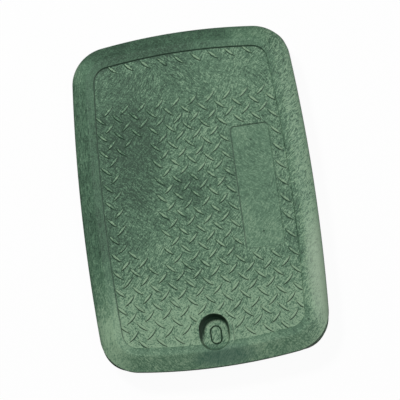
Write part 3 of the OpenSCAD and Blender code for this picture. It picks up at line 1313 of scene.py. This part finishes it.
@dataclass(frozen=True)
class Hatch:
    """Layer of short fibres that lie along one angle in the plane."""

    degrees: float
    length: float
    width: float
    seed: float


@dataclass(frozen=True)
class Speckle:
    """Kind of noise in the plastic."""

    scale: float
    detail: float
    distortion: float = 0.0


@dataclass(frozen=True)
class Amount:
    """Strength of a mark: a base, and what a mask adds to it."""

    base: float
    added: float

    def under(self, mask: Wire) -> Wire:
        """The strength under a mask."""
        return self.base + self.added * mask


class Site:
    """Where on the cover a point of a material lies and which way it faces, and masks made from that.

    The pocket's area is how far ahead of the well its middle lies, and its reach across and along.
    """

    INSIDE = Fade(-0.3 * MM, 0.5 * MM)
    RIGHT = Fade(100 * MM, 125 * MM)
    NEAR_END = Fade(150 * MM, 175 * MM)
    POCKET_AREA = (4 * MM, 26 * MM, 34 * MM)
    EAST_SHARE = 0.35
    NORTH_SHARE = 0.8
    TURNED_AWAY = Fade(-0.05, 0.25)

    def __init__(self, shader: Shader, panel: Panel, pocket: Pocket) -> None:
        """Reads place and direction, and makes the masks that several marks share.

        Args:
            shader: The material's node tree.
            panel: The panel, for its edge and the pad's.
            pocket: The bolt pocket.
        """
        self.panel, self.level = panel, panel.levels
        self.at = shader.node("ShaderNodeTexCoord", {}, [], "Object")
        self.x, self.y, self.z = shader.split(self.at)
        east, north, self.upright = shader.split(shader.node("ShaderNodeNewGeometry", {}, [], "Normal"))
        self.turned_away = (east * self.EAST_SHARE - north * self.NORTH_SHARE).step(self.TURNED_AWAY)
        self.depth, self.pad_depth = self.panel_inside(), self.pad_inside()
        self.on_panel, self.on_pad = self.depth.step(self.INSIDE), self.pad_depth.step(self.INSIDE)
        self.right = self.x.step(self.RIGHT)
        self.near_end = (-self.y).step(self.NEAR_END)
        ahead, reach_x, reach_y = self.POCKET_AREA
        self.off_pocket = 1.0 - self.plateau(Spot(0.0, pocket.y - ahead, reach_x, reach_y))

    def spot(self, place: Spot) -> Wire:
        """Mask of a patch: 1 in its middle, falling smoothly to 0 at its reach.

        Args:
            place: The patch.

        Returns:
            The mask, without the patch's amount.
        """
        across = ((self.x - place.x) / place.reach_x) ** 2.0
        along = ((self.y - place.y) / place.reach_y) ** 2.0
        return (across + along).step(Fade(1.0, 0.0))

    def plateau(self, place: Spot) -> Wire:
        """Mask of a patch that keeps to 1 over most of it and falls off steeply."""
        return (4.0 * self.spot(place)).least(1.0)

    def panel_inside(self) -> Wire:
        """Distance inside the panel's edge: the least of those from the rim's side, end and corner.

        Returns:
            The distance, negative outside.
        """
        rim, (cx, cy) = self.panel.border.rim, self.panel.border.rim.corner()
        x, y = abs(self.x), abs(self.y)
        side = rim.side_r - (x - (rim.half_w - rim.side_r)).hypot(y)
        end = rim.end_r - x.hypot(y - (rim.half_l - rim.end_r))
        corner = rim.corner_r - (x - cx).hypot(y - cy)
        near = side.least(end)
        beyond = x.maths("GREATER_THAN", cx) * y.maths("GREATER_THAN", cy)
        return near + beyond * (near.least(corner) - near) - self.panel.border.inset

    def pad_inside(self) -> Wire:
        """Distance inside the edge of the label pad, a rectangle with round corners.

        Returns:
            The distance, negative outside.
        """
        pad = self.panel
        x = abs(self.x - pad.pad_x) - (pad.pad_w / 2 - pad.pad_r)
        y = abs(self.y) - (pad.pad_l / 2 - pad.pad_r)
        return pad.pad_r - x.most(0.0).hypot(y.most(0.0)) - x.most(y).least(0.0)

    def height(self, fade: Fade, level: float) -> Wire:
        """Mask by the height over a level."""
        return self.z.step(fade.over(level))


@dataclass(frozen=True)
class Foam:
    """Grain of the foamed plastic: short fibres in three directions, flecks, blotches and wide patches."""

    rising: Hatch = Hatch(52.0, 6.5 * MM, 0.9 * MM, 0.0)
    falling: Hatch = Hatch(-42.0, 5.5 * MM, 0.9 * MM, 0.37)
    lengthwise: Hatch = Hatch(84.0, 8.0 * MM, 1.0 * MM, 0.71)
    grain: Speckle = Speckle(520.0, 2.0)
    fleck: Speckle = Speckle(210.0, 3.0, 0.6)
    blotch: Speckle = Speckle(30.0, 3.0)
    patch: Speckle = Speckle(9.0, 1.5)
    turn: Speckle = Speckle(17.0, 1.0)
    pits: Speckle = Speckle(900.0, 3.0)
    ripple: Speckle = Speckle(60.0, 2.0)
    strand: Speckle = Speckle(1.0, 2.0, 0.5)
    roughness: float = 0.6
    sway: float = 9 * MM
    sway_scale: float = 30.0
    left: Fade = Fade(105 * MM, 135 * MM)
    rising_share: float = 0.5
    rising_turn: float = 2.2
    rising_right: float = 0.5

    def noise(self, at: Wire, kind: Speckle) -> Wire:
        """Noise about 0.

        Args:
            at: The place that it is read at.
            kind: Its scale and detail.

        Returns:
            The noise.
        """
        return at.tree.node("ShaderNodeTexNoise", {"noise_dimensions": "3D"}, {
            "Vector": at, "Scale": kind.scale, "Detail": kind.detail, "Roughness": self.roughness,
            "Distortion": kind.distortion}) - 0.5

    def fibres(self, at: Wire, hatch: Hatch) -> Wire:
        """Noise about 0, stretched along the hatch's angle in the plane.

        Args:
            at: The place that it is read at.
            hatch: Angle and size of the fibres.

        Returns:
            The noise.
        """
        turned = at.tree.node("ShaderNodeMapping", {"vector_type": "TEXTURE"}, {
            "Vector": at, "Location": (hatch.seed, hatch.seed, 0.0),
            "Rotation": (0.0, 0.0, math.radians(hatch.degrees)),
            "Scale": (hatch.length, hatch.width, hatch.length)})
        return self.noise(turned, self.strand)

    def warped(self, at: Wire) -> Wire:
        """Place that sways to and fro in the plane, so that nothing lies quite straight.

        Args:
            at: The true place.

        Returns:
            The swaying place.
        """
        soft = at.tree.node("ShaderNodeTexNoise", {}, {
            "Vector": at, "Scale": self.sway_scale, "Detail": 2.0, "Roughness": 0.5}, "Color")
        sway = at.tree.node("ShaderNodeVectorMath", {"operation": "MULTIPLY_ADD"}, [
            soft, (2 * self.sway, 2 * self.sway, 0.0), (-self.sway, -self.sway, 0.0)], "Vector")
        return at.tree.node("ShaderNodeVectorMath", {"operation": "ADD"}, [at, sway], "Vector")

    def hatched(self, site: Site, warped: Wire) -> Wire:
        """Fibres that rise or fall by turns, and lie lengthwise at the left edge.

        Args:
            site: Place on the cover.
            warped: The swaying place.

        Returns:
            The fibres, about 0.
        """
        turn = self.noise(site.at, self.turn)
        share = (self.rising_share + self.rising_turn * turn + self.rising_right * site.right).share()
        hatched = share * self.fibres(warped, self.rising) + (1.0 - share) * self.fibres(warped, self.falling)
        return hatched + (-site.x).step(self.left) * (self.fibres(warped, self.lengthwise) - hatched)


@dataclass(frozen=True)
class FoamPlastic:
    """Green structural foam: short hatched fibres of light and dark green over soft blotches.

    The tone is 0 for the dark, 0.5 for the middle and 1 for the light colour. Besides the grain, the tone and
    the marks carry painted light and shade: lighter and darker areas, highlights, and dark lines and faces
    where shade falls.
    """

    panel: Panel
    pocket: Pocket
    foam: Foam = Foam()
    dark: Colour = (0.004, 0.022, 0.010, 1.0)
    middle: Colour = (0.057, 0.127, 0.074, 1.0)
    light: Colour = (0.205, 0.310, 0.200, 1.0)
    blue: Colour = (0.016, 0.060, 0.048, 1.0)
    pale: Colour = (0.300, 0.360, 0.270, 1.0)
    unlit: Colour = (0.056, 0.070, 0.052, 1.0)
    sheen: Colour = (0.74, 1.0, 0.80, 1.0)

    # How strongly the grain shows, and how much more or less it does so in each area.
    base_tone: float = 0.47
    fibre_tone: float = 2.9
    grain_tone: float = 1.6
    fleck_tone: float = 0.8
    blotch_tone: float = 0.6
    patch_tone: float = 0.30
    busy: float = 0.55
    busy_panel: float = 0.42
    busy_right: float = 0.40
    calm_pad: float = 0.42

    # Painted light and shade: areas that are lighter or darker because of how the light falls.
    # Painted shade round the gate; the same area also makes the bump's pits stronger.
    gate_area: Spot = Spot(-8 * MM, 8 * MM, 30 * MM, 26 * MM, -0.24)
    painted_light_and_shade: tuple[Spot, ...] = (
        Spot(-100 * MM, 10 * MM, 70 * MM, 130 * MM, -0.16),
        Spot(-72 * MM, 55 * MM, 48 * MM, 85 * MM, -0.20),
        Spot(-55 * MM, 130 * MM, 120 * MM, 95 * MM, -0.20),
        Spot(-40 * MM, 208 * MM, 150 * MM, 30 * MM, -0.28),
        gate_area,
        Spot(142 * MM, -125 * MM, 34 * MM, 100 * MM, 0.26),
        Spot(142 * MM, 30 * MM, 28 * MM, 220 * MM, 0.24),
        Spot(-60 * MM, -150 * MM, 80 * MM, 60 * MM, 0.12),
        Spot(-132 * MM, -180 * MM, 40 * MM, 75 * MM, 0.20),
        Spot(-132 * MM, 190 * MM, 26 * MM, 34 * MM, 0.14),
    )
    # Painted sheen: a pale wash on the near part of the right bevel.
    painted_sheen: Spot = Spot(143 * MM, -125 * MM, 26 * MM, 95 * MM, 0.5)
    # A bluish patch near the near end.
    cool: Spot = Spot(9 * MM, -204 * MM, 48 * MM, 15 * MM, 0.6)
    # Painted light: the near end of the cover and the pad are lighter.
    near_part: Fade = Fade(70 * MM, 165 * MM)
    near_painted_light: Amount = Amount(0.19, 0.06)
    pad_painted_light: float = 0.07
    # Painted highlight on the treads' crowns.
    crown: Fade = Fade(0.5 * MM, 1.05 * MM)
    crown_highlight: float = 0.50
    # Painted shade on the strip inside the crest, stronger at the near end and at the right.
    strip: Ridge = Ridge(0.0, 9 * MM)
    strip_shade: tuple[float, float, float] = (0.03, 0.17, 0.10)
    # Painted light on the right side's outer bevel.
    outer_bevel: Fade = Fade(21 * MM, 28 * MM)
    outer_bevel_painted_light: float = 0.20
    # Painted highlights: a light line inside the panel's near edge, and one on the strip just outside its
    # left edge.
    near_edge: Ridge = Ridge(2.0 * MM, 3.0 * MM)
    near_edge_highlight: float = 0.12
    left_edge: Ridge = Ridge(-3 * MM, 3 * MM)
    left_part: Fade = Fade(90 * MM, 110 * MM)
    left_edge_highlight: float = 0.07

    # Painted shade: dark lines and faces where shade falls, each with where it lies and how strong it is.
    panel_line: Ridge = Ridge(0.1 * MM, 1.3 * MM)
    panel_slant: Point = (7.7, 5.0)
    panel_lit: Fade = Fade(-0.12, 0.16)
    far_part: Fade = Fade(130 * MM, 170 * MM)
    panel_line_share: Amount = Amount(0.45, 0.40)
    pad_line: Ridge = Ridge(0.1 * MM, 1.2 * MM)
    pad_slant: Point = (41.7, 12.7)
    pad_lit: Fade = Fade(-0.10, 0.15)
    pad_line_share: Amount = Amount(0.24, 0.42)
    steep: Fade = Fade(0.93, 0.50)
    wall_height: Fade = Fade(-4 * MM, 0.0)
    ramp_part: Fade = Fade(6 * MM, 15 * MM)
    ramp_share: float = 0.8
    wall_share: float = 0.95
    wall_turned: Amount = Amount(0.30, 0.70)
    foot_start: Fade = Fade(0.02 * MM, 0.12 * MM)
    foot_stop: Fade = Fade(1.05 * MM, 0.60 * MM)
    foot_share: Amount = Amount(0.22, 0.76)
    # Painted shade in the pad's dimples.
    dimple: Fade = Fade(-0.04 * MM, -0.3 * MM)
    dimple_shade_share: float = 0.75
    # Painted shade from just under the rim's top down, on its rounded edge and all below, weaker at the
    # right.
    edge: Fade = Fade(0.1 * MM, -0.9 * MM)
    rim_edge_shade_share: float = 0.85
    rim_edge_shade_right: Amount = Amount(1.0, -0.35)
    # Painted shade under the seat: the skirt, the ribs and the underside take the unlit colour.
    hidden: Fade = Fade(0.0, -1.5 * MM)
    under_rim_shade_share: float = 0.6

    # Painted shade in the pocket: middle of the lit floor, and where the shade starts about it.
    lit_floor_x: float = 1.5 * MM
    lit_floor_ahead: float = 2.2 * MM
    lit_floor_reach: Fade = Fade(12.5 * MM, 15.5 * MM)
    deep: Point = (-2 * MM, 2 * MM)
    far_wall: Fade = Fade(-12 * MM, 0.0)
    corner_share: float = 0.96
    knockout_area: Point = (14 * MM, 18 * MM)
    groove: Fade = Fade(-0.1 * MM, -0.7 * MM)
    groove_share: float = 0.92

    # Sheen and relief.
    rough: float = 0.62
    rough_blotch: float = 0.16
    smooth_fibre: float = 0.12
    # Rougher where the pocket's painted shade lies.
    rough_pocket_shade: float = 0.3
    pit_height: Amount = Amount(0.06, 0.16)
    ripple_height: float = 0.20
    fibre_height: float = 0.25
    relief: float = 1.0 * MM

    def tone(self, site: Site, hatched: Wire, blotch: Wire) -> Wire:
        """Lightness of the plastic before the dark lines: its grain, with painted light and shade in areas,
        on the crowns, the strip and the edges.

        Args:
            site: Place on the cover.
            hatched: The fibres.
            blotch: The soft blotches.

        Returns:
            The tone.
        """
        foam, panel, right = self.foam, site.on_panel, site.right
        grain, fleck = foam.noise(site.at, foam.grain), foam.noise(site.at, foam.fleck)
        busy = self.busy + self.busy_panel * panel + self.busy_right * (1.0 - panel) * right
        busy = busy - self.calm_pad * site.on_pad
        marks = self.fibre_tone * hatched + self.grain_tone * grain + self.fleck_tone * fleck
        tone = self.base_tone + busy * marks + self.blotch_tone * blotch
        tone = tone + self.patch_tone * foam.noise(site.at, foam.patch)
        # Painted light on the near end and on the pad.
        tone = tone + self.near_painted_light.under(panel) * (-site.y).step(self.near_part)
        tone = tone + self.pad_painted_light * site.on_pad
        # Painted light and shade of the areas.
        for place in self.painted_light_and_shade:
            tone = tone + place.amount * site.spot(place)
        # Painted highlight on the treads' crowns.
        crown = site.height(self.crown, site.level.panel) * panel * site.off_pocket
        # Painted shade on the strip inside the crest.
        along, near, aside = self.strip_shade
        strip = site.depth.near(self.strip) * (1.0 - panel)
        tone = tone + self.crown_highlight * crown - (along + near * site.near_end + aside * right) * strip
        # Painted light on the right outer bevel.
        tone = tone + self.outer_bevel_painted_light * right * (-site.depth).step(self.outer_bevel)
        # Painted highlights inside the panel's near edge and outside its left edge.
        tone = tone + self.near_edge_highlight * site.near_end * site.depth.near(self.near_edge) * panel
        return tone + self.left_edge_highlight * site.depth.near(self.left_edge) * (-site.x).step(self.left_part)

    def edge_lines(self, site: Site) -> Wire:
        """Painted shade: dark lines along the panel's and the pad's edge, stronger at their far and left
        sides.

        Args:
            site: Place on the cover.

        Returns:
            The share of the dark colour.
        """
        x, y = site.x, site.y
        far_left = (y * self.panel_slant[1] - x * self.panel_slant[0]).step(self.panel_lit)
        pad_left = (y * self.pad_slant[1] - (x - self.panel.pad_x) * self.pad_slant[0]).step(self.pad_lit)
        line = site.depth.near(self.panel_line) * far_left
        line = line * self.panel_line_share.under(y.step(self.far_part))
        pad_line = site.pad_depth.near(self.pad_line) * self.pad_line_share.under(pad_left)
        return line.most(pad_line) * site.off_pocket

    def walls(self, site: Site) -> Wire:
        """Dark of steep faces, stronger where they turn from the light and weak on the pocket's ramp.

        Args:
            site: Place on the cover.

        Returns:
            The share of the dark colour.
        """
        steep = site.upright.step(self.steep) * site.height(self.wall_height, site.level.seat)
        on_ramp = (1.0 - site.off_pocket) * (-site.y).step(self.ramp_part.over(-self.pocket.y))
        steep = steep * (1.0 - self.ramp_share * on_ramp)
        return self.wall_share * steep * self.wall_turned.under(site.turned_away)

    def tread_feet(self, site: Site) -> Wire:
        """Dark at the foot of the treads, stronger where it turns from the light.

        Args:
            site: Place on the cover.

        Returns:
            The share of the dark colour.
        """
        level = site.level.panel
        foot = site.height(self.foot_start, level) * site.height(self.foot_stop, level) * site.on_panel
        return foot * site.off_pocket * self.foot_share.under(site.turned_away)

    def pocket_shade(self, site: Site) -> Wire:
        """Painted shade in the pocket: along the foot of its far wall and in the knock-out's groove.

        Args:
            site: Place on the cover.

        Returns:
            The share of the dark colour.
        """
        well, (under_top, over_floor) = self.pocket, self.deep
        away = (site.x - self.lit_floor_x).hypot(site.y - (well.y - self.lit_floor_ahead))
        deep = site.z.step(Fade(site.level.foot + under_top, well.floor + over_floor))
        corner = away.step(self.lit_floor_reach) * deep * (site.y - well.y).step(self.far_wall)
        groove = site.plateau(Spot(well.knockout_x, well.knockout_y, *self.knockout_area))
        groove = groove * site.height(self.groove, well.floor)
        return (self.corner_share * corner).most(self.groove_share * groove)

    def marks(self, site: Site, pocket_shade: Wire) -> list[tuple[Wire, Colour]]:
        """Colours that are laid over the tone.

        Args:
            site: Place on the cover.
            pocket_shade: Painted shade in the pocket.

        Returns:
            The share of each mark and its colour, in order.
        """
        level, off_pocket = site.level, site.off_pocket
        edge = site.height(self.edge, level.rim_top) * off_pocket
        return [
            (self.cool.amount * site.spot(self.cool), self.blue),
            # Painted sheen on the right bevel.
            (self.painted_sheen.amount * site.spot(self.painted_sheen) * (1.0 - site.on_panel), self.pale),
            # Painted shade along the panel's and the pad's edges.
            (self.edge_lines(site), self.dark),
            # Painted shade on steep faces.
            (self.walls(site), self.dark),
            # Painted shade at the treads' feet.
            (self.tread_feet(site), self.dark),
            # Painted shade in the pad's dimples.
            (self.dimple_shade_share * (site.height(self.dimple, level.pad) * site.on_pad), self.dark),
            # Painted shade in the pocket.
            (pocket_shade, self.dark),
            # Painted shade on the rim's rounded edge and below.
            (self.rim_edge_shade_share * edge * self.rim_edge_shade_right.under(site.right), self.dark),
            # Painted shade under the seat in the unlit colour.
            (self.under_rim_shade_share * (site.height(self.hidden, level.seat) * off_pocket), self.unlit),
        ]

    def material(self) -> bpy.types.Material:
        """Builds the material.

        Returns:
            The finished material, which reads Object coordinates and the surface's direction.
        """
        shader, foam = Shader("green_foam_plastic"), self.foam
        site = Site(shader, self.panel, self.pocket)
        warped = foam.warped(site.at)
        blotch, hatched = foam.noise(warped, foam.blotch), foam.hatched(site, warped)
        tone, pocket_shade = self.tone(site, hatched, blotch), self.pocket_shade(site)
        colour = shader.mix((tone * 2.0).share(), self.dark, self.middle)
        colour = shader.mix(((tone - 0.5) * 2.0).share(), colour, self.light)
        for share, mark in self.marks(site, pocket_shade):
            colour = shader.mix(share, colour, mark)
        roughness = self.rough + self.rough_blotch * blotch - self.smooth_fibre * hatched
        pits = foam.noise(site.at, foam.pits) * self.pit_height.under(site.spot(self.gate_area))
        ripple = self.ripple_height * foam.noise(warped, foam.ripple)
        normal = shader.node("ShaderNodeBump", {}, {
            "Strength": 1.0, "Distance": self.relief,
            "Height": pits + ripple + self.fibre_height * hatched})
        shader.feed(base_color=colour, roughness=roughness + self.rough_pocket_shade * pocket_shade, normal=normal)
        shader.feed(specular_ior_level=0.5, specular_tint=self.sheen)
        return shader.material


@dataclass
class ValveBoxCover:
    """The whole cover: builds each part of the moulding and joins them into one piece."""

    levels: Levels = field(init=False)
    border: Border = field(init=False)
    pocket: Pocket = field(init=False)
    panel: Panel = field(init=False)
    treads: Treads = field(init=False)
    ribs: Ribs = field(init=False)
    rim_side_r: float = 2.3
    rim_end_r: float = 0.735
    rim_corner_r: float = 49 * MM
    skirt_side_r: float = 5.0
    skirt_end_r: float = 2.0
    skirt_corner_r: float = 36 * MM
    skirt_side_inset: float = 5.5 * MM
    skirt_end_inset: float = 8 * MM
    sharp_angle: float = math.radians(38)

    def __post_init__(self) -> None:
        """Takes the outline and the crest's height from the frame's box."""
        self.levels = Levels(crest=Border.meeting(float(HIGH[2])))
        rim = BowedRectangle(HALF_W, HALF_L, self.rim_side_r, self.rim_end_r, self.rim_corner_r)
        skirt = BowedRectangle(HALF_W - self.skirt_side_inset, HALF_L - self.skirt_end_inset,
                               self.skirt_side_r, self.skirt_end_r, self.skirt_corner_r)
        self.border = Border(self.levels, rim, skirt)
        self.pocket = Pocket(self.levels, self.border)
        self.panel = Panel(self.levels, self.border)
        self.treads = Treads(self.panel, self.pocket)
        self.ribs = Ribs(self.levels, self.border)

    def build(self) -> bpy.types.Object:
        """Makes the moulding.

        Returns:
            One object that stands for the cover's CAD node.
        """
        panel, pocket = self.panel, self.pocket
        base = self.border.shell().as_object("moulded_cover")
        combine(base, pocket.cup().as_object("cup"), Cut.JOIN)
        room = panel.room().as_object("panel_room")
        combine(room, pocket.collar_body().as_object("collar"), Cut.REMOVE)
        combine(base, room, Cut.REMOVE)
        dimples = [panel.dimple(sign * panel.dimple_gap / 2) for sign in (-1, 1)]
        for name, tool in (("pad_room", panel.pad_room()), ("well", pocket.well()),
                           ("groove", pocket.groove_cut()), *(("dimple", dimple) for dimple in dimples)):
            combine(base, tool.as_object(name), Cut.REMOVE)
        LOG.info("plate with its sinks: %d faces", len(base.data.polygons))
        ribs = self.ribs.shell().as_object("ribs")
        combine(ribs, pocket.rib_stop().as_object("rib_stop"), Cut.REMOVE)
        LOG.info("ribs: %d faces", len(ribs.data.polygons))
        loose = self.treads.shell(Side.FALLING) + self.treads.shell(Side.RISING) + panel.gate()
        treads = loose.as_object("treads")
        LOG.info("treads and gate: %d faces", len(treads.data.polygons))
        return self.joined(base, [ribs, treads])

    def joined(self, base: bpy.types.Object, others: list[bpy.types.Object]) -> bpy.types.Object:
        """Joins the shells into the base and smooths all but true edges.

        Args:
            base: The object that stays.
            others: The objects that are used up.

        Returns:
            The base.
        """
        with bpy.context.temp_override(active_object=base, selected_editable_objects=[base, *others]):
            bpy.ops.object.join()
        base.data.polygons.foreach_set("use_smooth", np.ones(len(base.data.polygons), dtype=bool))
        base.data.set_sharp_from_angle(angle=self.sharp_angle)
        base.data.update()
        return base

    def dress(self, piece: bpy.types.Object) -> None:
        """Gives the moulding its plastic and ties it to the frame.

        Args:
            piece: The moulding.
        """
        finish = FoamPlastic(self.panel, self.pocket)
        piece.data.materials.clear()
        piece.data.materials.append(finish.material())
        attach(piece, BODY)
        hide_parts(NODE)


@dataclass(frozen=True)
class Lamp:
    """Soft square lamp that looks at the cover, or one that only shows in its sheen."""

    name: str
    place: tuple[float, float, float]
    size: float
    power: float
    sheen_only: bool = False

    def put_up(self) -> None:
        """Adds the lamp to the scene."""
        light = bpy.data.lights.new(self.name, "AREA")
        light.shape = "SQUARE"
        light.size = self.size
        light.energy = self.power
        lamp = bpy.data.objects.new(self.name, light)
        place = Vector(self.place)
        lamp.matrix_world = Matrix.Translation(place) @ place.to_track_quat("Z", "Y").to_matrix().to_4x4()
        lamp.visible_diffuse = not self.sheen_only
        bpy.context.scene.collection.objects.link(lamp)


@dataclass(frozen=True)
class Studio:
    """Pale floor, soft lamps and the camera at the photograph's viewing angle."""

    rim_top: float
    aim_down: float = 1 * MM
    picture: float = 400.0
    focal_pixels: float = 1195.2
    sensor: float = 36.0
    tilt_x: float = math.radians(-12.48)
    tilt_y: float = math.radians(-5.0)
    turn_z: float = math.radians(7.345)
    shift_x: float = -4.1 * MM
    shift_y: float = 6.95 * MM
    distance: float = 1.4911
    sight: float = 20.0
    floor_half: float = 3.0
    floor_colour: Colour = (0.72, 0.72, 0.72, 1.0)
    floor_rough: float = 0.9
    floor_white: float = 0.95
    sky_strength: float = 0.16
    lamps: tuple[Lamp, ...] = (
        Lamp("key", (-0.85, 1.3, 2.3), 0.5, 58.0),
        Lamp("soft", (0.35, -0.25, 1.9), 1.1, 11.0),
        Lamp("sheen", (1.35, 0.1, 0.95), 0.8, 34.0, sheen_only=True),
    )

    def camera(self) -> None:
        """Adds the camera: the lid is turned in its plane, then tilted about the picture's axes."""
        turn = (
            Matrix.Rotation(self.tilt_x, 3, "X")
            @ Matrix.Rotation(self.tilt_y, 3, "Y")
            @ Matrix.Rotation(self.turn_z, 3, "Z")
        )
        lens = bpy.data.cameras.new("camera")
        lens.sensor_fit = "AUTO"
        lens.sensor_width = self.sensor
        lens.lens = self.sensor * self.focal_pixels / self.picture
        lens.clip_end = self.sight
        camera = bpy.data.objects.new("camera", lens)
        place = turn.transposed() @ Vector((-self.shift_x, -self.shift_y, self.distance))
        place.z += self.rim_top - self.aim_down
        camera.matrix_world = Matrix.Translation(place) @ turn.transposed().to_4x4()
        bpy.context.scene.collection.objects.link(camera)
        bpy.context.scene.camera = camera

    def sky(self) -> None:
        """Adds the world: even pale light from all round, white to the camera."""
        world = bpy.data.worlds.new("sky")
        world.use_nodes = True
        sky = NodeTree(world.node_tree)
        back = sky.tree.nodes["Background"]
        sky.put(WHITE, back.inputs["Color"])
        sky.put(self.sky_strength, back.inputs["Strength"])
        seen = sky.node("ShaderNodeBackground", {}, {"Color": WHITE})
        by_camera = sky.node("ShaderNodeLightPath", {}, [], "Is Camera Ray")
        mixed = sky.node("ShaderNodeMixShader", {}, [by_camera, Wire(sky, back.outputs["Background"]), seen])
        sky.put(mixed, sky.tree.nodes["World Output"].inputs["Surface"])
        bpy.context.scene.world = world

    def floor(self) -> None:
        """Adds the floor under the skirt: white to the camera, with a trace of the shadow."""
        half = self.floor_half
        square = np.array([[-half, -half, 0], [half, -half, 0], [half, half, 0], [-half, half, 0]])
        floor = Shell(square, np.array([[0, 1, 2, 3]])).as_object("floor")
        shader = Shader("pale_floor")
        shader.feed(base_color=self.floor_colour, roughness=self.floor_rough)
        by_camera = shader.node("ShaderNodeLightPath", {}, [], "Is Camera Ray")
        white = shader.node("ShaderNodeEmission", {}, {"Color": WHITE, "Strength": 1.0})
        body = Wire(shader, shader.surface.outputs["BSDF"])
        mixed = shader.node("ShaderNodeMixShader", {}, [by_camera * self.floor_white, body, white])
        shader.put(mixed, shader.output.inputs["Surface"])
        floor.data.materials.append(shader.material)

    def set_up(self) -> None:
        """Places camera, lamps, sky and floor."""
        self.camera()
        for lamp in self.lamps:
            lamp.put_up()
        self.sky()
        self.floor()
        bpy.context.scene.view_settings.view_transform = "Standard"


def main() -> None:
    """Builds the cover and its studio, and reports each piece."""
    logging.basicConfig(level=logging.INFO, format="%(name)s: %(message)s")
    cover = ValveBoxCover()
    Studio(rim_top=cover.levels.rim_top).set_up()
    LOG.info("camera, lamps and floor are in place")
    piece = cover.build()
    cover.dress(piece)
    LOG.info("%s: %d faces, dressed", piece.name, len(piece.data.polygons))


if __name__ == "__main__":
    main()
